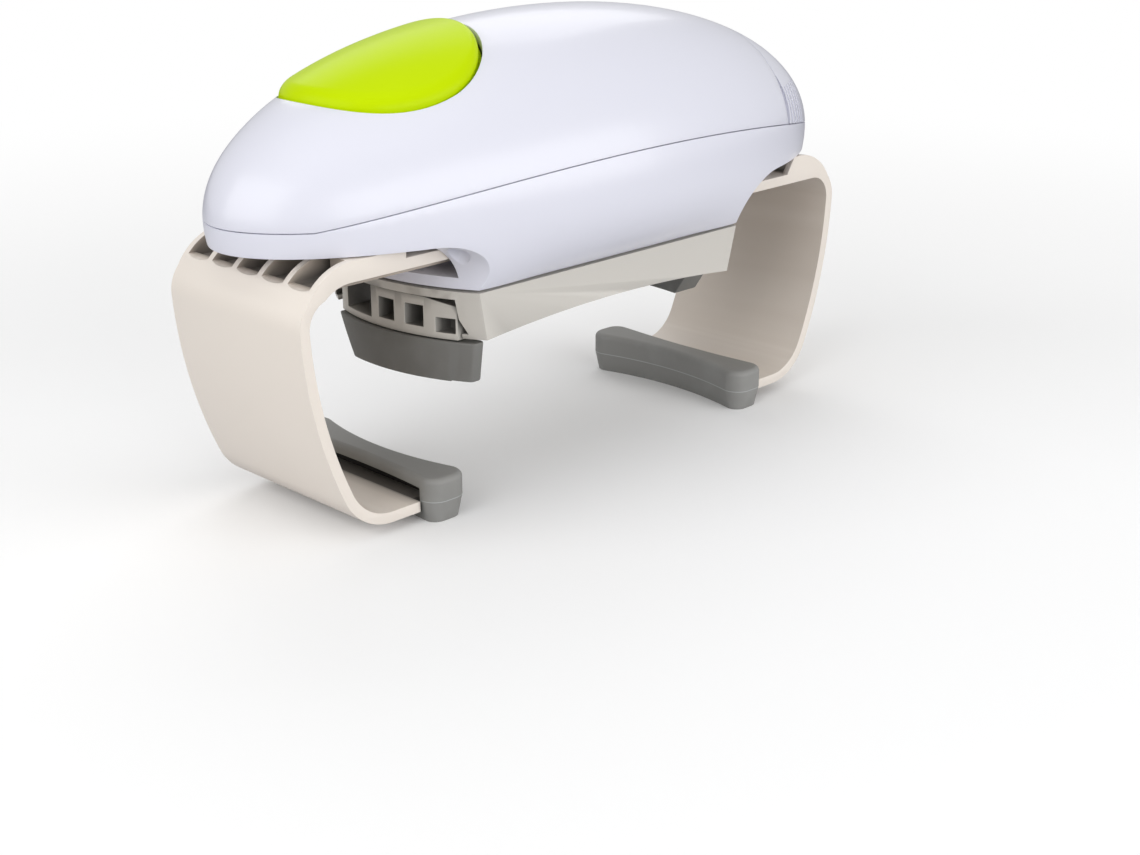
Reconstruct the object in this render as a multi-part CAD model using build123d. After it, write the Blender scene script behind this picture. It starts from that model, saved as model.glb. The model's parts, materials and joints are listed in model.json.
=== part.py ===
from build123d import *
import os
from math import acos, asin, cos, exp, pi, radians, sin, sqrt, tan

# Battery powered twist opener, in millimetres. Two arms hold still what the turntable twists open.
# The pieces are made about the turning axis, and at the end all of them move by body_shift.
# The origin is then on the table under the middle of the body, +Z is up, and the button is at -X.

# White body: an egg lying on its side, on a round neck with two flat sides
body_length = 209.0
body_width = 84.0
body_shift = 1.2
wall = 2.2
base_z = 58.1
waist_rise = 19.5
parting_rise = 9.9
parting_end_rise = 0.3
parting_x = 5.0
parting_reach = 95.4
parting_gap = 0.3
neck_radius = 57.9
neck_width = 61.6
floor_thickness = 2.9
under_rise = 13.7
flare_reach = 14.0
mouth_width = 52.8
roof_start = 50.0
hull_tip_turn = 86.0
hull_mid_steps = 3
depth_settle = 15.0
hull_end_steps = 4

# Push button
button_x = -50.5
button_front = 28.3
button_rear = 22.6
button_half_width = 23.7
button_crown = 1.8
button_gap = 0.5
button_flange = 1.0
button_flange_drop = 0.4
button_flange_thickness = 1.2
button_travel = 1.2
button_edge = 1.4
stem_x = -48.0
stem_radius = 2.4

# Battery door
door_x = 71.5
door_gap = 0.25
door_lip_length = 6.0
door_lip = 1.2
door_lip_gap = 0.3
grip_count = 5
grip_start = 75.0
grip_pitch = 2.6
grip_width = 0.8
grip_depth = 0.4
grip_rise = 15.0
notch_radius = 16.0
notch_width = 2.0
notch_depth = 2.6
notch_rise = 11.0

# Sliding arms
arm_width = 51.8
arm_wall = 2.8
arm_lift = 2.75
arm_top_x = 100.4
arm_mid_x = 97.2
arm_foot_x = 84.7
arm_foot_z = 3.0
arm_top_bend = 9.8
arm_foot_bend = 16.0
arm_tip_x = 66.0
tongue_length = 6.0
tongue_width = 44.0
tongue_thickness = 1.8
plate_inner_width = 45.6
plate_outer_x = 80.0
plate_step_x = 47.0
plate_end_x = 31.0
rail_width = 7.4
rail_web = 2.0
rail_lift = 2.5
rail_shoulder_x = 68.0
rail_bend_x = 85.0
rail_bend_length = 10.2
rail_bend_drop = 6.0

# Gussets over the arms' upper bends
gusset_rise = 4.8
gusset_bend = 16.0
gusset_start = 78.0
gusset_slope = 3.0
gusset_count = 6
gusset_thickness = 1.8
skin = 1.6
pocket_floor = 1.5
skin_drop = 0.4
scallop_depth = 0.6

# Rubber pads at the arms' feet
arm_pad_length = 60.8
arm_pad_height = 12.0
arm_pad_heel_x = 66.0
arm_pad_tip_x = 51.6
arm_pad_hollow = 5.4
arm_pad_back_hollow = 1.7
arm_pad_corner = 4.5
arm_pad_seam_z = 5.8
arm_pad_taper = 12.0
arm_pad_edge = 1.6

# Turntable under the neck
turntable_gap = 0.8
turntable_height = 12.7
turntable_roof = 2.2
turntable_wall = 5.6
turntable_end_draft = 2.6
turntable_side_draft = 0.5
arch_rise = 2.5
arch_margin = 2.7
groove_depth = 1.6
groove_height = 3.9
groove_rise = 1.25
cover_thickness = 1.8
cover_drop = 5.1
cover_boss_x = 12.0
cover_boss_y = 20.0
cover_boss_radius = 3.0

# Jaws that slide in the turntable, and their rubber pads
jaw_radius = 56.0
jaw_inner_x = 46.0
jaw_short_y = 18.8
jaw_side_gap = 0.6
jaw_top_gap = 0.5
jaw_bottom_drop = 0.5
jaw_travel_in = 27.0
jaw_travel_out = 3.0
jaw_rack_drop = 0.7
jaw_rack_height = 3.6
jaw_rack_depth = 5.5
jaw_tongue_x = 47.4
jaw_tongue_gap = 0.25
jaw_pass_inner = 3.0
jaw_pass_outer = 15.0
jaw_pass_rise = 1.75
jaw_window_count = 2
jaw_window_rise = 2.45
jaw_window_height = 5.5
jaw_window_width = 5.7
jaw_window_pitch = 9.3
jaw_notch_y = 18.3
jaw_notch_width = 5.2
jaw_notch_rise = 1.65
jaw_notch_height = 3.85
jaw_pad_height = 10.5
jaw_pad_radius = 57.4
jaw_pad_long_y = 29.3
jaw_pad_short_y = 18.0
jaw_pad_lean = 8.0
jaw_pad_tip_x = 45.5
jaw_pad_hollow = 3.0
jaw_pad_corner = 1.5

# Gears: stub teeth, straight sided racks
pressure_angle = 20.0
addendum_share = 0.7
dedendum_share = 0.95
backlash = 0.16
rack_module = 1.0
ring_teeth = 26
jaw_teeth = 12
planet_module = 0.8
sun_teeth = 12
planet_teeth = 15
planet_count = 3
open_mesh = 0.1
train_module = 0.6
sun_wheel_teeth = 46
reduction_pinion_teeth = 10
reduction_wheel_teeth = 44
motor_pinion_teeth = 9

# Levels and thicknesses of the drive, from the arms' plates upwards
rack_gap = 0.45
rack_height = 5.0
rack_depth = 6.0
rack_overlap = 14.0
rack_foot_start = 33.0
rack_root_x = 41.0
ring_play = 0.2
cup_gap = 0.6
cup_floor = 1.4
cup_wall = 2.4
carrier_play = 0.3
carrier_thickness = 2.0
carrier_rim = 2.4
planet_height = 4.5
deck_play = 0.4
deck_thickness = 2.0
sun_play = 0.3
sun_wheel_height = 3.5
upper_deck_rise = 12.2
first_stage_play = 1.0
first_stage_height = 2.2

# Shafts, bearings and their clearances
run_gap = 0.05
seat_gap = 0.03
shaft_radius = 3.0
hub_radius = 4.9
spigot_radius = 6.0
tower_radius = 8.3
clip_height = 0.75
clip_radius = 6.6
clip_groove = 0.5
clip_play = 0.15
planet_pin_radius = 1.5
sun_axle_radius = 1.5
reduction_axle_radius = 1.0
reduction_hub_radius = 2.6
washer_inner = 12.0
washer_outer = 20.0
washer_play = 0.1

# Motor
motor_radius = 10.2
motor_flat = 7.7
motor_clearance = 0.9
motor_cap_height = 3.0
motor_shaft_radius = 1.0
motor_shaft_tail = 18.0

# Posts, decks and screws inside the body
post_x = 20.0
post_y = 26.6
post_radius = 2.4
deck_half_width = 30.0
deck_rear_x = 24.0
deck_arm_half_width = 12.0
deck_arm_x = -59.0
spacer_radius = 3.0
gear_screw_radius = 1.2
gear_screw_head = 2.4
gear_screw_head_height = 1.8
gear_screw_bite = 10.0
guide_rib_y = 20.0
guide_rib_width = 2.0
guide_rib_gap = 0.15
round_rib_radius = 44.0
round_rib_thickness = 1.5
shell_screw_x = 55.0
shell_screw_y = 30.2
shell_boss_radius = 4.2
shell_screw_radius = 1.4
shell_screw_head = 2.7
shell_screw_head_height = 1.8
shell_screw_seat = 14.5
shell_screw_length = 18.0
cover_screw_radius = 1.2
cover_screw_head = 2.2
cover_screw_head_height = 1.0
cover_screw_length = 5.5

# Circuit board, switch and return spring
board_rear_x = -40.0
board_front_x = -56.0
board_half_width = 8.0
board_thickness = 1.5
standoff_height = 4.0
standoff_radius = 1.6
standoff_inset = 2.4
switch_size = 6.0
switch_height = 3.0
plunger_radius = 1.6
plunger_height = 1.4
plunger_depth = 1.6
stem_play = 0.1
spring_radius = 5.3
spring_wire = 0.5
spring_turns = 3
spring_end_gap = 0.4

# Two AA cells and their bay
cell_radius = 7.25
cell_length = 49.2
cell_nub_radius = 2.7
cell_nub_length = 1.3
cell_gap = 0.7
bay_front_x = 30.0
bay_wall = 1.3
bay_floor_gap = 2.4
bay_wall_height = 5.5
bay_end_height = 8.0
bay_foot_width = 3.0
contact_thickness = 0.5
contact_spring_length = 3.5
contact_spring_radius = 3.0
contact_wire = 0.5
contact_turns = 3

# Two leads from the cells' contacts to the circuit board
lead_radius = 0.7
lead_y = 18.0
lead_margin = 2.2
lead_lift = 2.2

# Values that follow from the sizes above
half_length = body_length / 2
half_width = body_width / 2
mid_z = base_z + waist_rise
under_z = base_z + under_rise
floor_z = base_z + floor_thickness
roof_z = under_z + wall
neck_half_length = sqrt(neck_radius**2 - (neck_width / 2) ** 2)
flare_radius = neck_radius + flare_reach
far = 2 * body_length

plate_low = floor_z + arm_lift
plate_top = plate_low + arm_wall
rack_low = plate_top + rack_gap
rack_top = rack_low + rack_height
ring_pitch = rack_module * ring_teeth / 2
jaw_pitch = rack_module * jaw_teeth / 2
rack_pitch = pi * rack_module
rack_tip = addendum_share * rack_module
rack_root = dedendum_share * rack_module

ring_low = rack_low + ring_play
ring_disc_top = rack_top - ring_play
cup_low = rack_top + cup_gap
carrier_low = cup_low + cup_floor + carrier_play
carrier_top = carrier_low + carrier_thickness
planet_low = carrier_top + carrier_play
planet_top = planet_low + planet_height
cup_top = planet_top + carrier_play
deck_low = cup_top + deck_play
deck_top = deck_low + deck_thickness
sun_wheel_low = deck_top + sun_play
sun_wheel_top = sun_wheel_low + sun_wheel_height
upper_deck_low = deck_top + upper_deck_rise
upper_deck_top = upper_deck_low + deck_thickness
first_stage_low = upper_deck_top + first_stage_play
first_stage_top = first_stage_low + first_stage_height
board_low = upper_deck_top + standoff_height
board_top = board_low + board_thickness
switch_top = board_top + switch_height
plunger_top = switch_top + plunger_height

sun_radius = planet_module * sun_teeth / 2
planet_radius = planet_module * planet_teeth / 2
planet_orbit = sun_radius + planet_radius
ring_inner_pitch = planet_orbit + planet_radius
cup_radius = ring_inner_pitch + planet_module * dedendum_share + cup_wall
reduction_x = -train_module * (sun_wheel_teeth + reduction_pinion_teeth) / 2
motor_x = reduction_x - train_module * (reduction_wheel_teeth + motor_pinion_teeth) / 2
motor_low = rack_top + motor_clearance

turntable_top = base_z - turntable_gap
turntable_low = turntable_top - turntable_height
turntable_ceiling = turntable_top - turntable_roof
turntable_inner_y = neck_width / 2 - turntable_side_draft - turntable_wall
cover_top = turntable_ceiling - cover_drop
cover_low = cover_top - cover_thickness
jaw_top = turntable_ceiling - jaw_top_gap
jaw_low = turntable_low - jaw_bottom_drop
jaw_half_width = turntable_inner_y - jaw_side_gap
jaw_rack_top = turntable_ceiling - jaw_rack_drop
jaw_rack_low = jaw_rack_top - jaw_rack_height
cover_half_length = jaw_inner_x - jaw_travel_in - jaw_top_gap

bay_low = rack_top + bay_floor_gap
cell_z = bay_low + bay_wall + cell_radius
cell_y = cell_radius + cell_gap / 2
bay_rear_x = bay_front_x + contact_spring_length + cell_length + cell_nub_length
bay_half_width = cell_y + cell_radius + cell_gap / 2 + bay_wall

CORNER = (Align.MIN, Align.MIN, Align.MIN)
FOOT = (Align.CENTER, Align.CENTER, Align.MIN)


# Small helpers
def block(x_span, y_span, z_span):
    """A box between three pairs of limits."""
    size = [high - low for low, high in (x_span, y_span, z_span)]
    return Pos(x_span[0], y_span[0], z_span[0]) * Box(*size, align=CORNER)


def rod(radius, low, high, at=(0, 0)):
    """An upright cylinder."""
    return Pos(at[0], at[1], low) * Cylinder(radius, high - low, align=FOOT)


def tube(outer, inner, low, high, at=(0, 0)):
    """An upright hollow cylinder."""
    return rod(outer, low, high, at) - rod(inner, low, high, at)


def side_prism(outline, half_depth):
    """A solid from an outline in the XZ plane, spread to both sides of it."""
    return extrude(Plane.XZ * outline, amount=half_depth, both=True)


def common(*shapes):
    """What several solids share, without stray faces or edges."""
    shared = shapes[0]
    for shape in shapes[1:]:
        shared = Part() + (shared & shape).solids()
    return shared


def half_turn(shape):
    """The same piece for the other end: arms and jaws are one part used twice."""
    return Rot(0, 0, 180) * shape


def four_corners(x, y):
    return [(x, y), (x, -y), (-x, y), (-x, -y)]


# Gear teeth
def involute(radius, base_radius):
    angle = acos(min(1.0, base_radius / radius))
    return tan(angle) - angle


def gear_face(teeth, module, tip_radius, root_radius, turn=0.0):
    """A toothed outline, with the middle of its first tooth at the given angle in degrees."""
    pitch_radius = module * teeth / 2
    base_radius = pitch_radius * cos(radians(pressure_angle))
    pitch_half = pi / (2 * teeth) - backlash / (4 * pitch_radius)
    flank = [r for r in (base_radius, pitch_radius) if root_radius < r < tip_radius]
    radii = [root_radius] + flank + [tip_radius]
    halves = []
    for radius in radii:
        spread = involute(pitch_radius, base_radius) - involute(max(radius, base_radius), base_radius)
        halves.append(pitch_half + spread)
    points = []
    for tooth in range(teeth):
        middle = radians(turn) + 2 * pi * tooth / teeth
        rising = [(radius, middle - half) for radius, half in zip(radii, halves)]
        falling = [(radius, middle + half) for radius, half in zip(radii, halves)]
        for radius, angle in rising + falling[::-1]:
            points.append((radius * cos(angle), radius * sin(angle)))
    return make_face(Polyline(*points, close=True))


def gear(teeth, module, low, high, turn=0.0, tip_cut=0.0):
    """A spur gear; tip_cut shortens its teeth below the pitch circle where a mesh is left open."""
    pitch_radius = module * teeth / 2
    tip = pitch_radius - tip_cut if tip_cut else pitch_radius + addendum_share * module
    root = pitch_radius - dedendum_share * module
    face = gear_face(teeth, module, tip, root, turn)
    return extrude(Pos(0, 0, low) * face, amount=high - low)


def rack(pitch_y, depth, x_span, z_span, tooth_at_zero):
    """A bar with teeth on its -Y side, on the pitch line y = pitch_y."""
    slope = tan(radians(pressure_angle))
    half = rack_pitch / 4 - backlash / 4
    tip_half = half - rack_tip * slope
    root_half = half + rack_root * slope
    shift = 0.0 if tooth_at_zero else rack_pitch / 2
    first = int((x_span[0] - shift + root_half) / rack_pitch + 1e3) + 1 - 1000
    last = int((x_span[1] - shift - root_half) / rack_pitch + 1e3) - 1000
    back = pitch_y + rack_root + depth
    points = [(x_span[0], back), (x_span[0], pitch_y + rack_root)]
    for number in range(first, last + 1):
        middle = shift + number * rack_pitch
        points.append((middle - root_half, pitch_y + rack_root))
        points.append((middle - tip_half, pitch_y - rack_tip))
        points.append((middle + tip_half, pitch_y - rack_tip))
        points.append((middle + root_half, pitch_y + rack_root))
    points += [(x_span[1], pitch_y + rack_root), (x_span[1], back)]
    face = make_face(Polyline(*points, close=True))
    return extrude(Pos(0, 0, z_span[0]) * face, amount=z_span[1] - z_span[0])


# Body shell
def hull_section(turn, inset):
    """One cross section of the egg: a half circle above the waist, a half ellipse below it."""
    half = (half_width - inset) * cos(turn)
    along = (half_length - inset) * sin(turn)
    upper = CenterArc((0, 0), half, 0, 180)
    lower = EllipticalCenterArc((0, 0), half, half * depth_share(along, inset), 180, arc_size=180)
    place = (body_shift + along, 0, mid_z)
    return Plane(place, x_dir=(0, 1, 0), z_dir=(1, 0, 0)) * make_face([upper, lower])


def depth_share(along, inset):
    """Depth of the lower half over its half width. It meets the neck's flat sides at the base."""
    slender = ((half_width - inset) / (half_length - inset)) ** 2
    held = min(abs(along), neck_half_length)
    spread = (half_width - inset) ** 2 - slender * held**2 - (neck_width / 2 - inset) ** 2
    share = waist_rise / sqrt(spread)
    slope = share * slender * held / spread
    beyond = abs(along) - held
    return share + slope * depth_settle * (1 - exp(-beyond / depth_settle))


def hull(inset):
    """The egg, drawn in by an inset. Its lower half meets the neck's flat sides at the base."""
    neck_turn = asin(neck_half_length / half_length)
    end_turn = radians(hull_tip_turn) - neck_turn
    turns = [neck_turn * step / hull_mid_steps for step in range(hull_mid_steps + 1)]
    turns += [neck_turn + end_turn * step / hull_end_steps for step in range(1, hull_end_steps + 1)]
    turns = [-turn for turn in reversed(turns[1:])] + turns
    tip = half_length - inset
    sections = [hull_section(turn, inset) for turn in turns]
    return loft([Vertex(body_shift - tip, 0, mid_z)] + sections + [Vertex(body_shift + tip, 0, mid_z)])


def below_parting(lift):
    """Everything below the arched parting line."""
    ends = mid_z + parting_end_rise + lift
    crown = mid_z + parting_rise + lift
    front = parting_x - parting_reach
    rear = parting_x + parting_reach
    arch = ThreePointArc((front, ends), (parting_x, crown), (rear, ends))
    rest = Polyline((rear, ends), (far, ends), (far, -far), (-far, -far), (-far, ends), (front, ends))
    return side_prism(make_face([arch, rest]), far)


def neck_and_ends(inset, low):
    """Round neck, flared out to the flat underside of the two overhanging ends."""
    bend = (flare_reach**2 + under_rise**2) / (2 * under_rise)
    rise = low - under_z + bend
    foot = flare_radius - sqrt((bend + inset) ** 2 - rise**2)
    level = under_z + inset
    flare = TangentArc((flare_radius, level), (foot, low), tangent=(-1, 0))
    rest = Polyline((foot, low), (0, low), (0, far), (far, far), (far, level), (flare_radius, level))
    return revolve(Plane.XZ * make_face([flare, rest]), axis=Axis.Z)


def shell_screw_places():
    return four_corners(shell_screw_x, shell_screw_y)


def bottom_fittings():
    """What stands up inside the lower shell: bearing tower, guide ribs, posts and screw bosses."""
    pieces = [rod(tower_radius, -far, rack_low), rod(spigot_radius, -far, ring_disc_top - ring_play)]
    guide_top = plate_low - guide_rib_gap
    pieces.append(tube(round_rib_radius, round_rib_radius - round_rib_thickness, -far, guide_top))
    for sign in (-1, 1):
        middle = sign * guide_rib_y
        rib = (middle - guide_rib_width / 2, middle + guide_rib_width / 2)
        pieces.append(block((-round_rib_radius, round_rib_radius), rib, (-far, guide_top)))
        lane = mouth_width / 2 + wall
        span = sorted((sign * roof_start, sign * far))
        pieces.append(block(span, (-lane, lane), (-far, roof_z)))
    for place in four_corners(post_x, post_y):
        pieces.append(rod(post_radius, -far, deck_low, place))
    for place in shell_screw_places():
        pieces.append(rod(shell_boss_radius, -far, far, place))
    return pieces


def make_bottom_shell(outer_hull, inner_hull):
    shell = common(outer_hull, below_parting(-parting_gap / 2), neck_and_ends(0, base_z))
    hollow = common(inner_hull, neck_and_ends(wall, floor_z))
    for piece in bottom_fittings():
        hollow -= piece
    shell -= hollow
    for sign in (-1, 1):
        span = sorted((sign * round_rib_radius, sign * far))
        shell -= block(span, (-mouth_width / 2, mouth_width / 2), (floor_z, under_z))
    seat = base_z + shell_screw_seat
    for place in shell_screw_places():
        shell -= rod(shell_screw_head + run_gap, -far, seat, place)
        shell -= rod(shell_screw_radius + run_gap, base_z, far, place)
    for place in four_corners(post_x, post_y):
        shell -= rod(gear_screw_radius + run_gap, deck_low - gear_screw_bite, far, place)
    return shell - rod(hub_radius + run_gap, -far, far)


def button_outline(grow):
    """An egg: a short half ellipse behind, a long one in front."""
    half = button_half_width + grow
    front = EllipticalCenterArc((button_x, 0), button_front + grow, half, 90, arc_size=180)
    rear = EllipticalCenterArc((button_x, 0), button_rear + grow, half, 270, arc_size=180)
    return make_face([front, rear])


def button_prism(grow):
    return extrude(Pos(0, 0, mid_z) * button_outline(grow), amount=far)


def make_top_shell(outer_hull, inner_hull):
    hollow = inner_hull
    for place in shell_screw_places():
        hollow -= rod(shell_boss_radius, base_z, far, place)
    shell = outer_hull - below_parting(parting_gap / 2) - hollow
    shell -= block((door_x, far), (-far, far), (-far, far))
    shell -= button_prism(button_gap)
    reach = base_z + shell_screw_seat + shell_screw_length + button_gap
    for place in shell_screw_places():
        shell -= rod(shell_screw_radius + run_gap, base_z, reach, place)
    return shell


def door_lip_prism(inset):
    """The egg's section at the door's edge, drawn out straight along the way the door slides."""
    profile = section(hull(inset), section_by=Plane.YZ.offset(door_x))
    length = door_lip_length + door_gap + door_lip
    return extrude(Pos(-door_lip_length, 0, 0) * profile, amount=length, dir=(1, 0, 0))


def make_battery_door(outer_hull, inner_hull):
    """The rear end of the upper shell, with a straight lip that slides inside the fixed part."""
    front = door_x + door_gap
    root = front + notch_width + door_lip
    lip_inset = wall + door_lip_gap
    door = common(outer_hull, block((front, far), (-far, far), (-far, far)))
    door -= hull(lip_inset + door_lip)
    door -= common(inner_hull, block((root, far), (-far, far), (-far, far)))
    door += door_lip_prism(lip_inset) - door_lip_prism(lip_inset + door_lip)
    door -= below_parting(parting_gap / 2)
    grip_ring = outer_hull - hull(grip_depth)
    grip_top = mid_z + grip_rise
    for number in range(grip_count):
        x = grip_start + number * grip_pitch
        door -= common(grip_ring, block((x, x + grip_width), (-far, far), (-far, grip_top)))
    notch_x = front + notch_width - notch_radius
    notch = Pos(notch_x, 0, mid_z + notch_rise) * Rot(90, 0, 0) * Cylinder(notch_radius, far)
    return door - common(outer_hull - hull(notch_depth), notch)


def make_push_button():
    button = common(button_prism(0), hull(-button_crown))
    button += common(button_prism(button_flange), hull(wall + button_flange_drop))
    stem = rod(stem_radius, plunger_top + stem_play, far, (stem_x, 0))
    button -= hull(wall + button_flange_drop + button_flange_thickness) - stem
    crown = button.faces().sort_by(Axis.Z)[-1]
    return fillet(crown.edges(), button_edge)


# Sliding arms
def arm_outline(top, bend):
    """Closed side view of an arm: plate above, leaning band outside, foot flange below."""
    middle = (top + arm_foot_z) / 2
    band = ThreePointArc((arm_top_x, top), (arm_mid_x, middle), (arm_foot_x, arm_foot_z))
    inner = plate_end_x
    rest = Polyline((arm_foot_x, arm_foot_z), (inner, arm_foot_z), (inner, top), (arm_top_x, top))
    face = make_face([band, rest])
    upper = max((v for v in face.vertices() if v.X > arm_tip_x), key=lambda v: v.Y)
    face = fillet([upper], bend)
    lower = min((v for v in face.vertices() if v.X > arm_tip_x), key=lambda v: (v.Y, -v.X))
    return fillet([lower], arm_foot_bend)


def make_arm():
    """The arm of the battery end."""
    half = arm_width / 2
    outline = arm_outline(plate_top, arm_top_bend)
    inner = offset(outline, amount=-arm_wall, kind=Kind.ARC)
    band = side_prism(outline - inner, half)
    band = common(band, block((arm_tip_x, far), (-half, half), (-far, far)))
    band -= block((-far, gusset_start), (-far, far), (plate_low - arm_wall, far))
    band -= gusset_pockets(outline)
    half_plans = [
        (plate_outer_x, half),
        (plate_step_x, half),
        (plate_step_x, plate_inner_width / 2),
        (plate_end_x, plate_inner_width / 2),
    ]
    plan = half_plans + [(x, -y) for x, y in reversed(half_plans)]
    plate = extrude(Pos(0, 0, plate_low) * make_face(Polyline(*plan, close=True)), amount=arm_wall)
    tongue_z = arm_foot_z + (arm_wall - tongue_thickness) / 2
    tongue = block(
        (arm_tip_x - tongue_length, arm_tip_x),
        (-tongue_width / 2, tongue_width / 2),
        (tongue_z, tongue_z + tongue_thickness),
    )
    rail_side = (half - rail_width, half)
    rail = block((plate_step_x, rail_bend_x), rail_side, (plate_low, plate_top + rail_lift))
    rail += block((rail_shoulder_x, rail_bend_x), rail_side, (plate_low, plate_top + gusset_rise))
    arm = band + plate + tongue + rail + make_gussets(outline) - below_rail()
    bar = rack(ring_pitch, rack_depth, (-rack_overlap, rack_root_x), (rack_low, rack_top), True)
    inner_y = ring_pitch + rack_root
    foot = block((rack_foot_start, rack_root_x), (inner_y, inner_y + rack_depth), (plate_low, rack_top))
    return arm + bar + foot


def below_rail():
    """What is cut away under the raised edge on one side, where the other arm's edge slides past."""
    low = plate_low + rail_lift
    bend_end = (rail_bend_x + rail_bend_length, low - rail_bend_drop)
    bend = TangentArc((rail_bend_x, low), bend_end, tangent=(1, 0))
    floor = bend_end[1] - arm_wall
    start = plate_end_x - arm_wall
    rest = Polyline(bend_end, (rail_bend_x, floor), (start, floor), (start, low), (rail_bend_x, low))
    edge = arm_width / 2
    prism = side_prism(make_face([bend, rest]), far)
    return common(prism, block((-far, far), (edge - rail_width + rail_web, far), (-far, far)))


def shoulder_outline():
    """Side view of an arm whose upper bend is raised to the tops of the gussets."""
    return arm_outline(plate_top + gusset_rise, gusset_bend)


def gusset_zone():
    """The part of the side view that the gussets may fill."""
    shoulder_top = plate_top + gusset_rise
    slope = Polyline(
        (gusset_start, plate_top),
        (gusset_start + gusset_slope, shoulder_top),
        (far, shoulder_top),
        (far, base_z - arm_wall),
        (gusset_start, base_z - arm_wall),
        close=True,
    )
    return make_face(slope)


def gusset_pitch():
    return (arm_width - gusset_thickness) / (gusset_count - 1)


def first_gusset():
    return (gusset_thickness - arm_width) / 2


def bay_middles():
    return [first_gusset() + (number + 0.5) * gusset_pitch() for number in range(gusset_count - 1)]


def gusset_pockets(outline):
    """What is taken off the bend between the gussets, so that the pockets there are deep."""
    behind_skin = offset(shoulder_outline(), amount=-skin, kind=Kind.ARC)
    floor = offset(outline, amount=pocket_floor - arm_wall, kind=Kind.ARC)
    outside = (outline & gusset_zone()) - floor
    pocket = side_prism(outside & behind_skin, (gusset_pitch() - gusset_thickness) / 2)
    pockets = Part()
    for middle in bay_middles():
        pockets += Pos(0, middle, 0) * pocket
    return pockets


def make_gussets(outline):
    """Ribs over the upper bend, with a thin scalloped skin closing them on the outside."""
    section = (shoulder_outline() - outline) & gusset_zone()
    ribs = side_prism(section, gusset_thickness / 2)
    gussets = Part()
    for number in range(gusset_count):
        gussets += Pos(0, first_gusset() + number * gusset_pitch(), 0) * ribs
    skin_section = section - offset(shoulder_outline(), amount=-skin, kind=Kind.ARC)
    skin_wall = side_prism(skin_section, arm_width / 2)
    skin_top = plate_top - skin_drop
    skin_wall -= block((-far, far), (-far, far), (skin_top, far))
    bay = gusset_pitch() - gusset_thickness
    scoop = (bay**2 / 4 + scallop_depth**2) / (2 * scallop_depth)
    level = skin_top - scallop_depth + scoop
    for middle in bay_middles():
        skin_wall -= Pos(0, middle, level) * Rot(0, 90, 0) * Cylinder(scoop, far)
    return gussets + skin_wall


def arm_pad_plan():
    """Plan of a rubber pad: hollow on both sides and widest at its ends."""
    half = arm_pad_length / 2
    tip = arm_pad_tip_x
    heel = arm_pad_heel_x
    grip = ThreePointArc((tip, half), (tip + arm_pad_hollow, 0), (tip, -half))
    back = ThreePointArc((heel, -half), (heel - arm_pad_back_hollow, 0), (heel, half))
    face = make_face([grip, Line((tip, -half), (heel, -half)), back, Line((heel, half), (tip, half))])
    return fillet(face.vertices(), arm_pad_corner)


def make_arm_pad():
    plan = Pos(0, 0, arm_pad_seam_z) * arm_pad_plan()
    upper = extrude(plan, amount=arm_pad_height - arm_pad_seam_z)
    upper = fillet(upper.faces().sort_by(Axis.Z)[-1].edges(), arm_pad_edge)
    lower = extrude(plan, amount=-arm_pad_seam_z, taper=arm_pad_taper)
    pad = upper + lower
    tongue_z = arm_foot_z + (arm_wall - tongue_thickness) / 2
    slot = block(
        (arm_tip_x - tongue_length - seat_gap, far),
        (-tongue_width / 2 - seat_gap, tongue_width / 2 + seat_gap),
        (tongue_z - seat_gap, tongue_z + tongue_thickness + seat_gap),
    )
    return pad - slot


# Turntable
def groove_prism(sign, gap):
    """The three-sided groove that guides a jaw, or with a gap the tongue that runs in it."""
    low = turntable_low + groove_rise + gap
    top = low + groove_height - gap * 2
    inner = turntable_inner_y - jaw_side_gap * 2
    outer = turntable_inner_y - gap
    outline = Polyline(
        (sign * inner, low),
        (sign * (outer + groove_depth), low),
        (sign * outer, top),
        (sign * inner, top),
        close=True,
    )
    return extrude(Plane.YZ * make_face(outline), amount=far, both=True)


def make_turntable_housing():
    cone = Pos(0, 0, turntable_low) * Cone(
        neck_radius - turntable_end_draft, neck_radius, turntable_height, align=FOOT
    )
    half = neck_width / 2
    low_half = half - turntable_side_draft
    flanks = Polyline(
        (half, turntable_top),
        (low_half, turntable_low),
        (-low_half, turntable_low),
        (-half, turntable_top),
        close=True,
    )
    slab = extrude(Plane.YZ * make_face(flanks), amount=far, both=True)
    housing = common(cone, slab)
    housing -= block((-far, far), (-turntable_inner_y, turntable_inner_y), (-far, turntable_ceiling))
    for sign in (-1, 1):
        housing -= groove_prism(sign, 0)
    reach = neck_half_length - arch_margin
    arch = ThreePointArc((-reach, turntable_low), (0, turntable_low + arch_rise), (reach, turntable_low))
    housing -= side_prism(make_face([arch, Line((reach, turntable_low), (-reach, turntable_low))]), far)
    housing += rod(hub_radius, turntable_ceiling, ring_disc_top + clip_height + clip_groove)
    for place in four_corners(cover_boss_x, cover_boss_y):
        housing += rod(cover_boss_radius, cover_top, turntable_ceiling, place)
        housing -= rod(cover_screw_radius + run_gap, cover_top, cover_top + cover_screw_length, place)
    clip_low = ring_disc_top - ring_play + clip_play
    housing -= tube(far, hub_radius - clip_groove, clip_low, clip_low + clip_height)
    return housing - rod(shaft_radius + run_gap, -far, far)


def make_turntable_cover():
    half = turntable_inner_y - jaw_side_gap / 2
    cover = block((-cover_half_length, cover_half_length), (-half, half), (cover_low, cover_top))
    for place in four_corners(cover_boss_x, cover_boss_y):
        cover -= rod(cover_screw_radius + run_gap, -far, far, place)
        cover -= rod(cover_screw_head + run_gap, -far, cover_low + cover_screw_head_height, place)
    return cover


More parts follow.
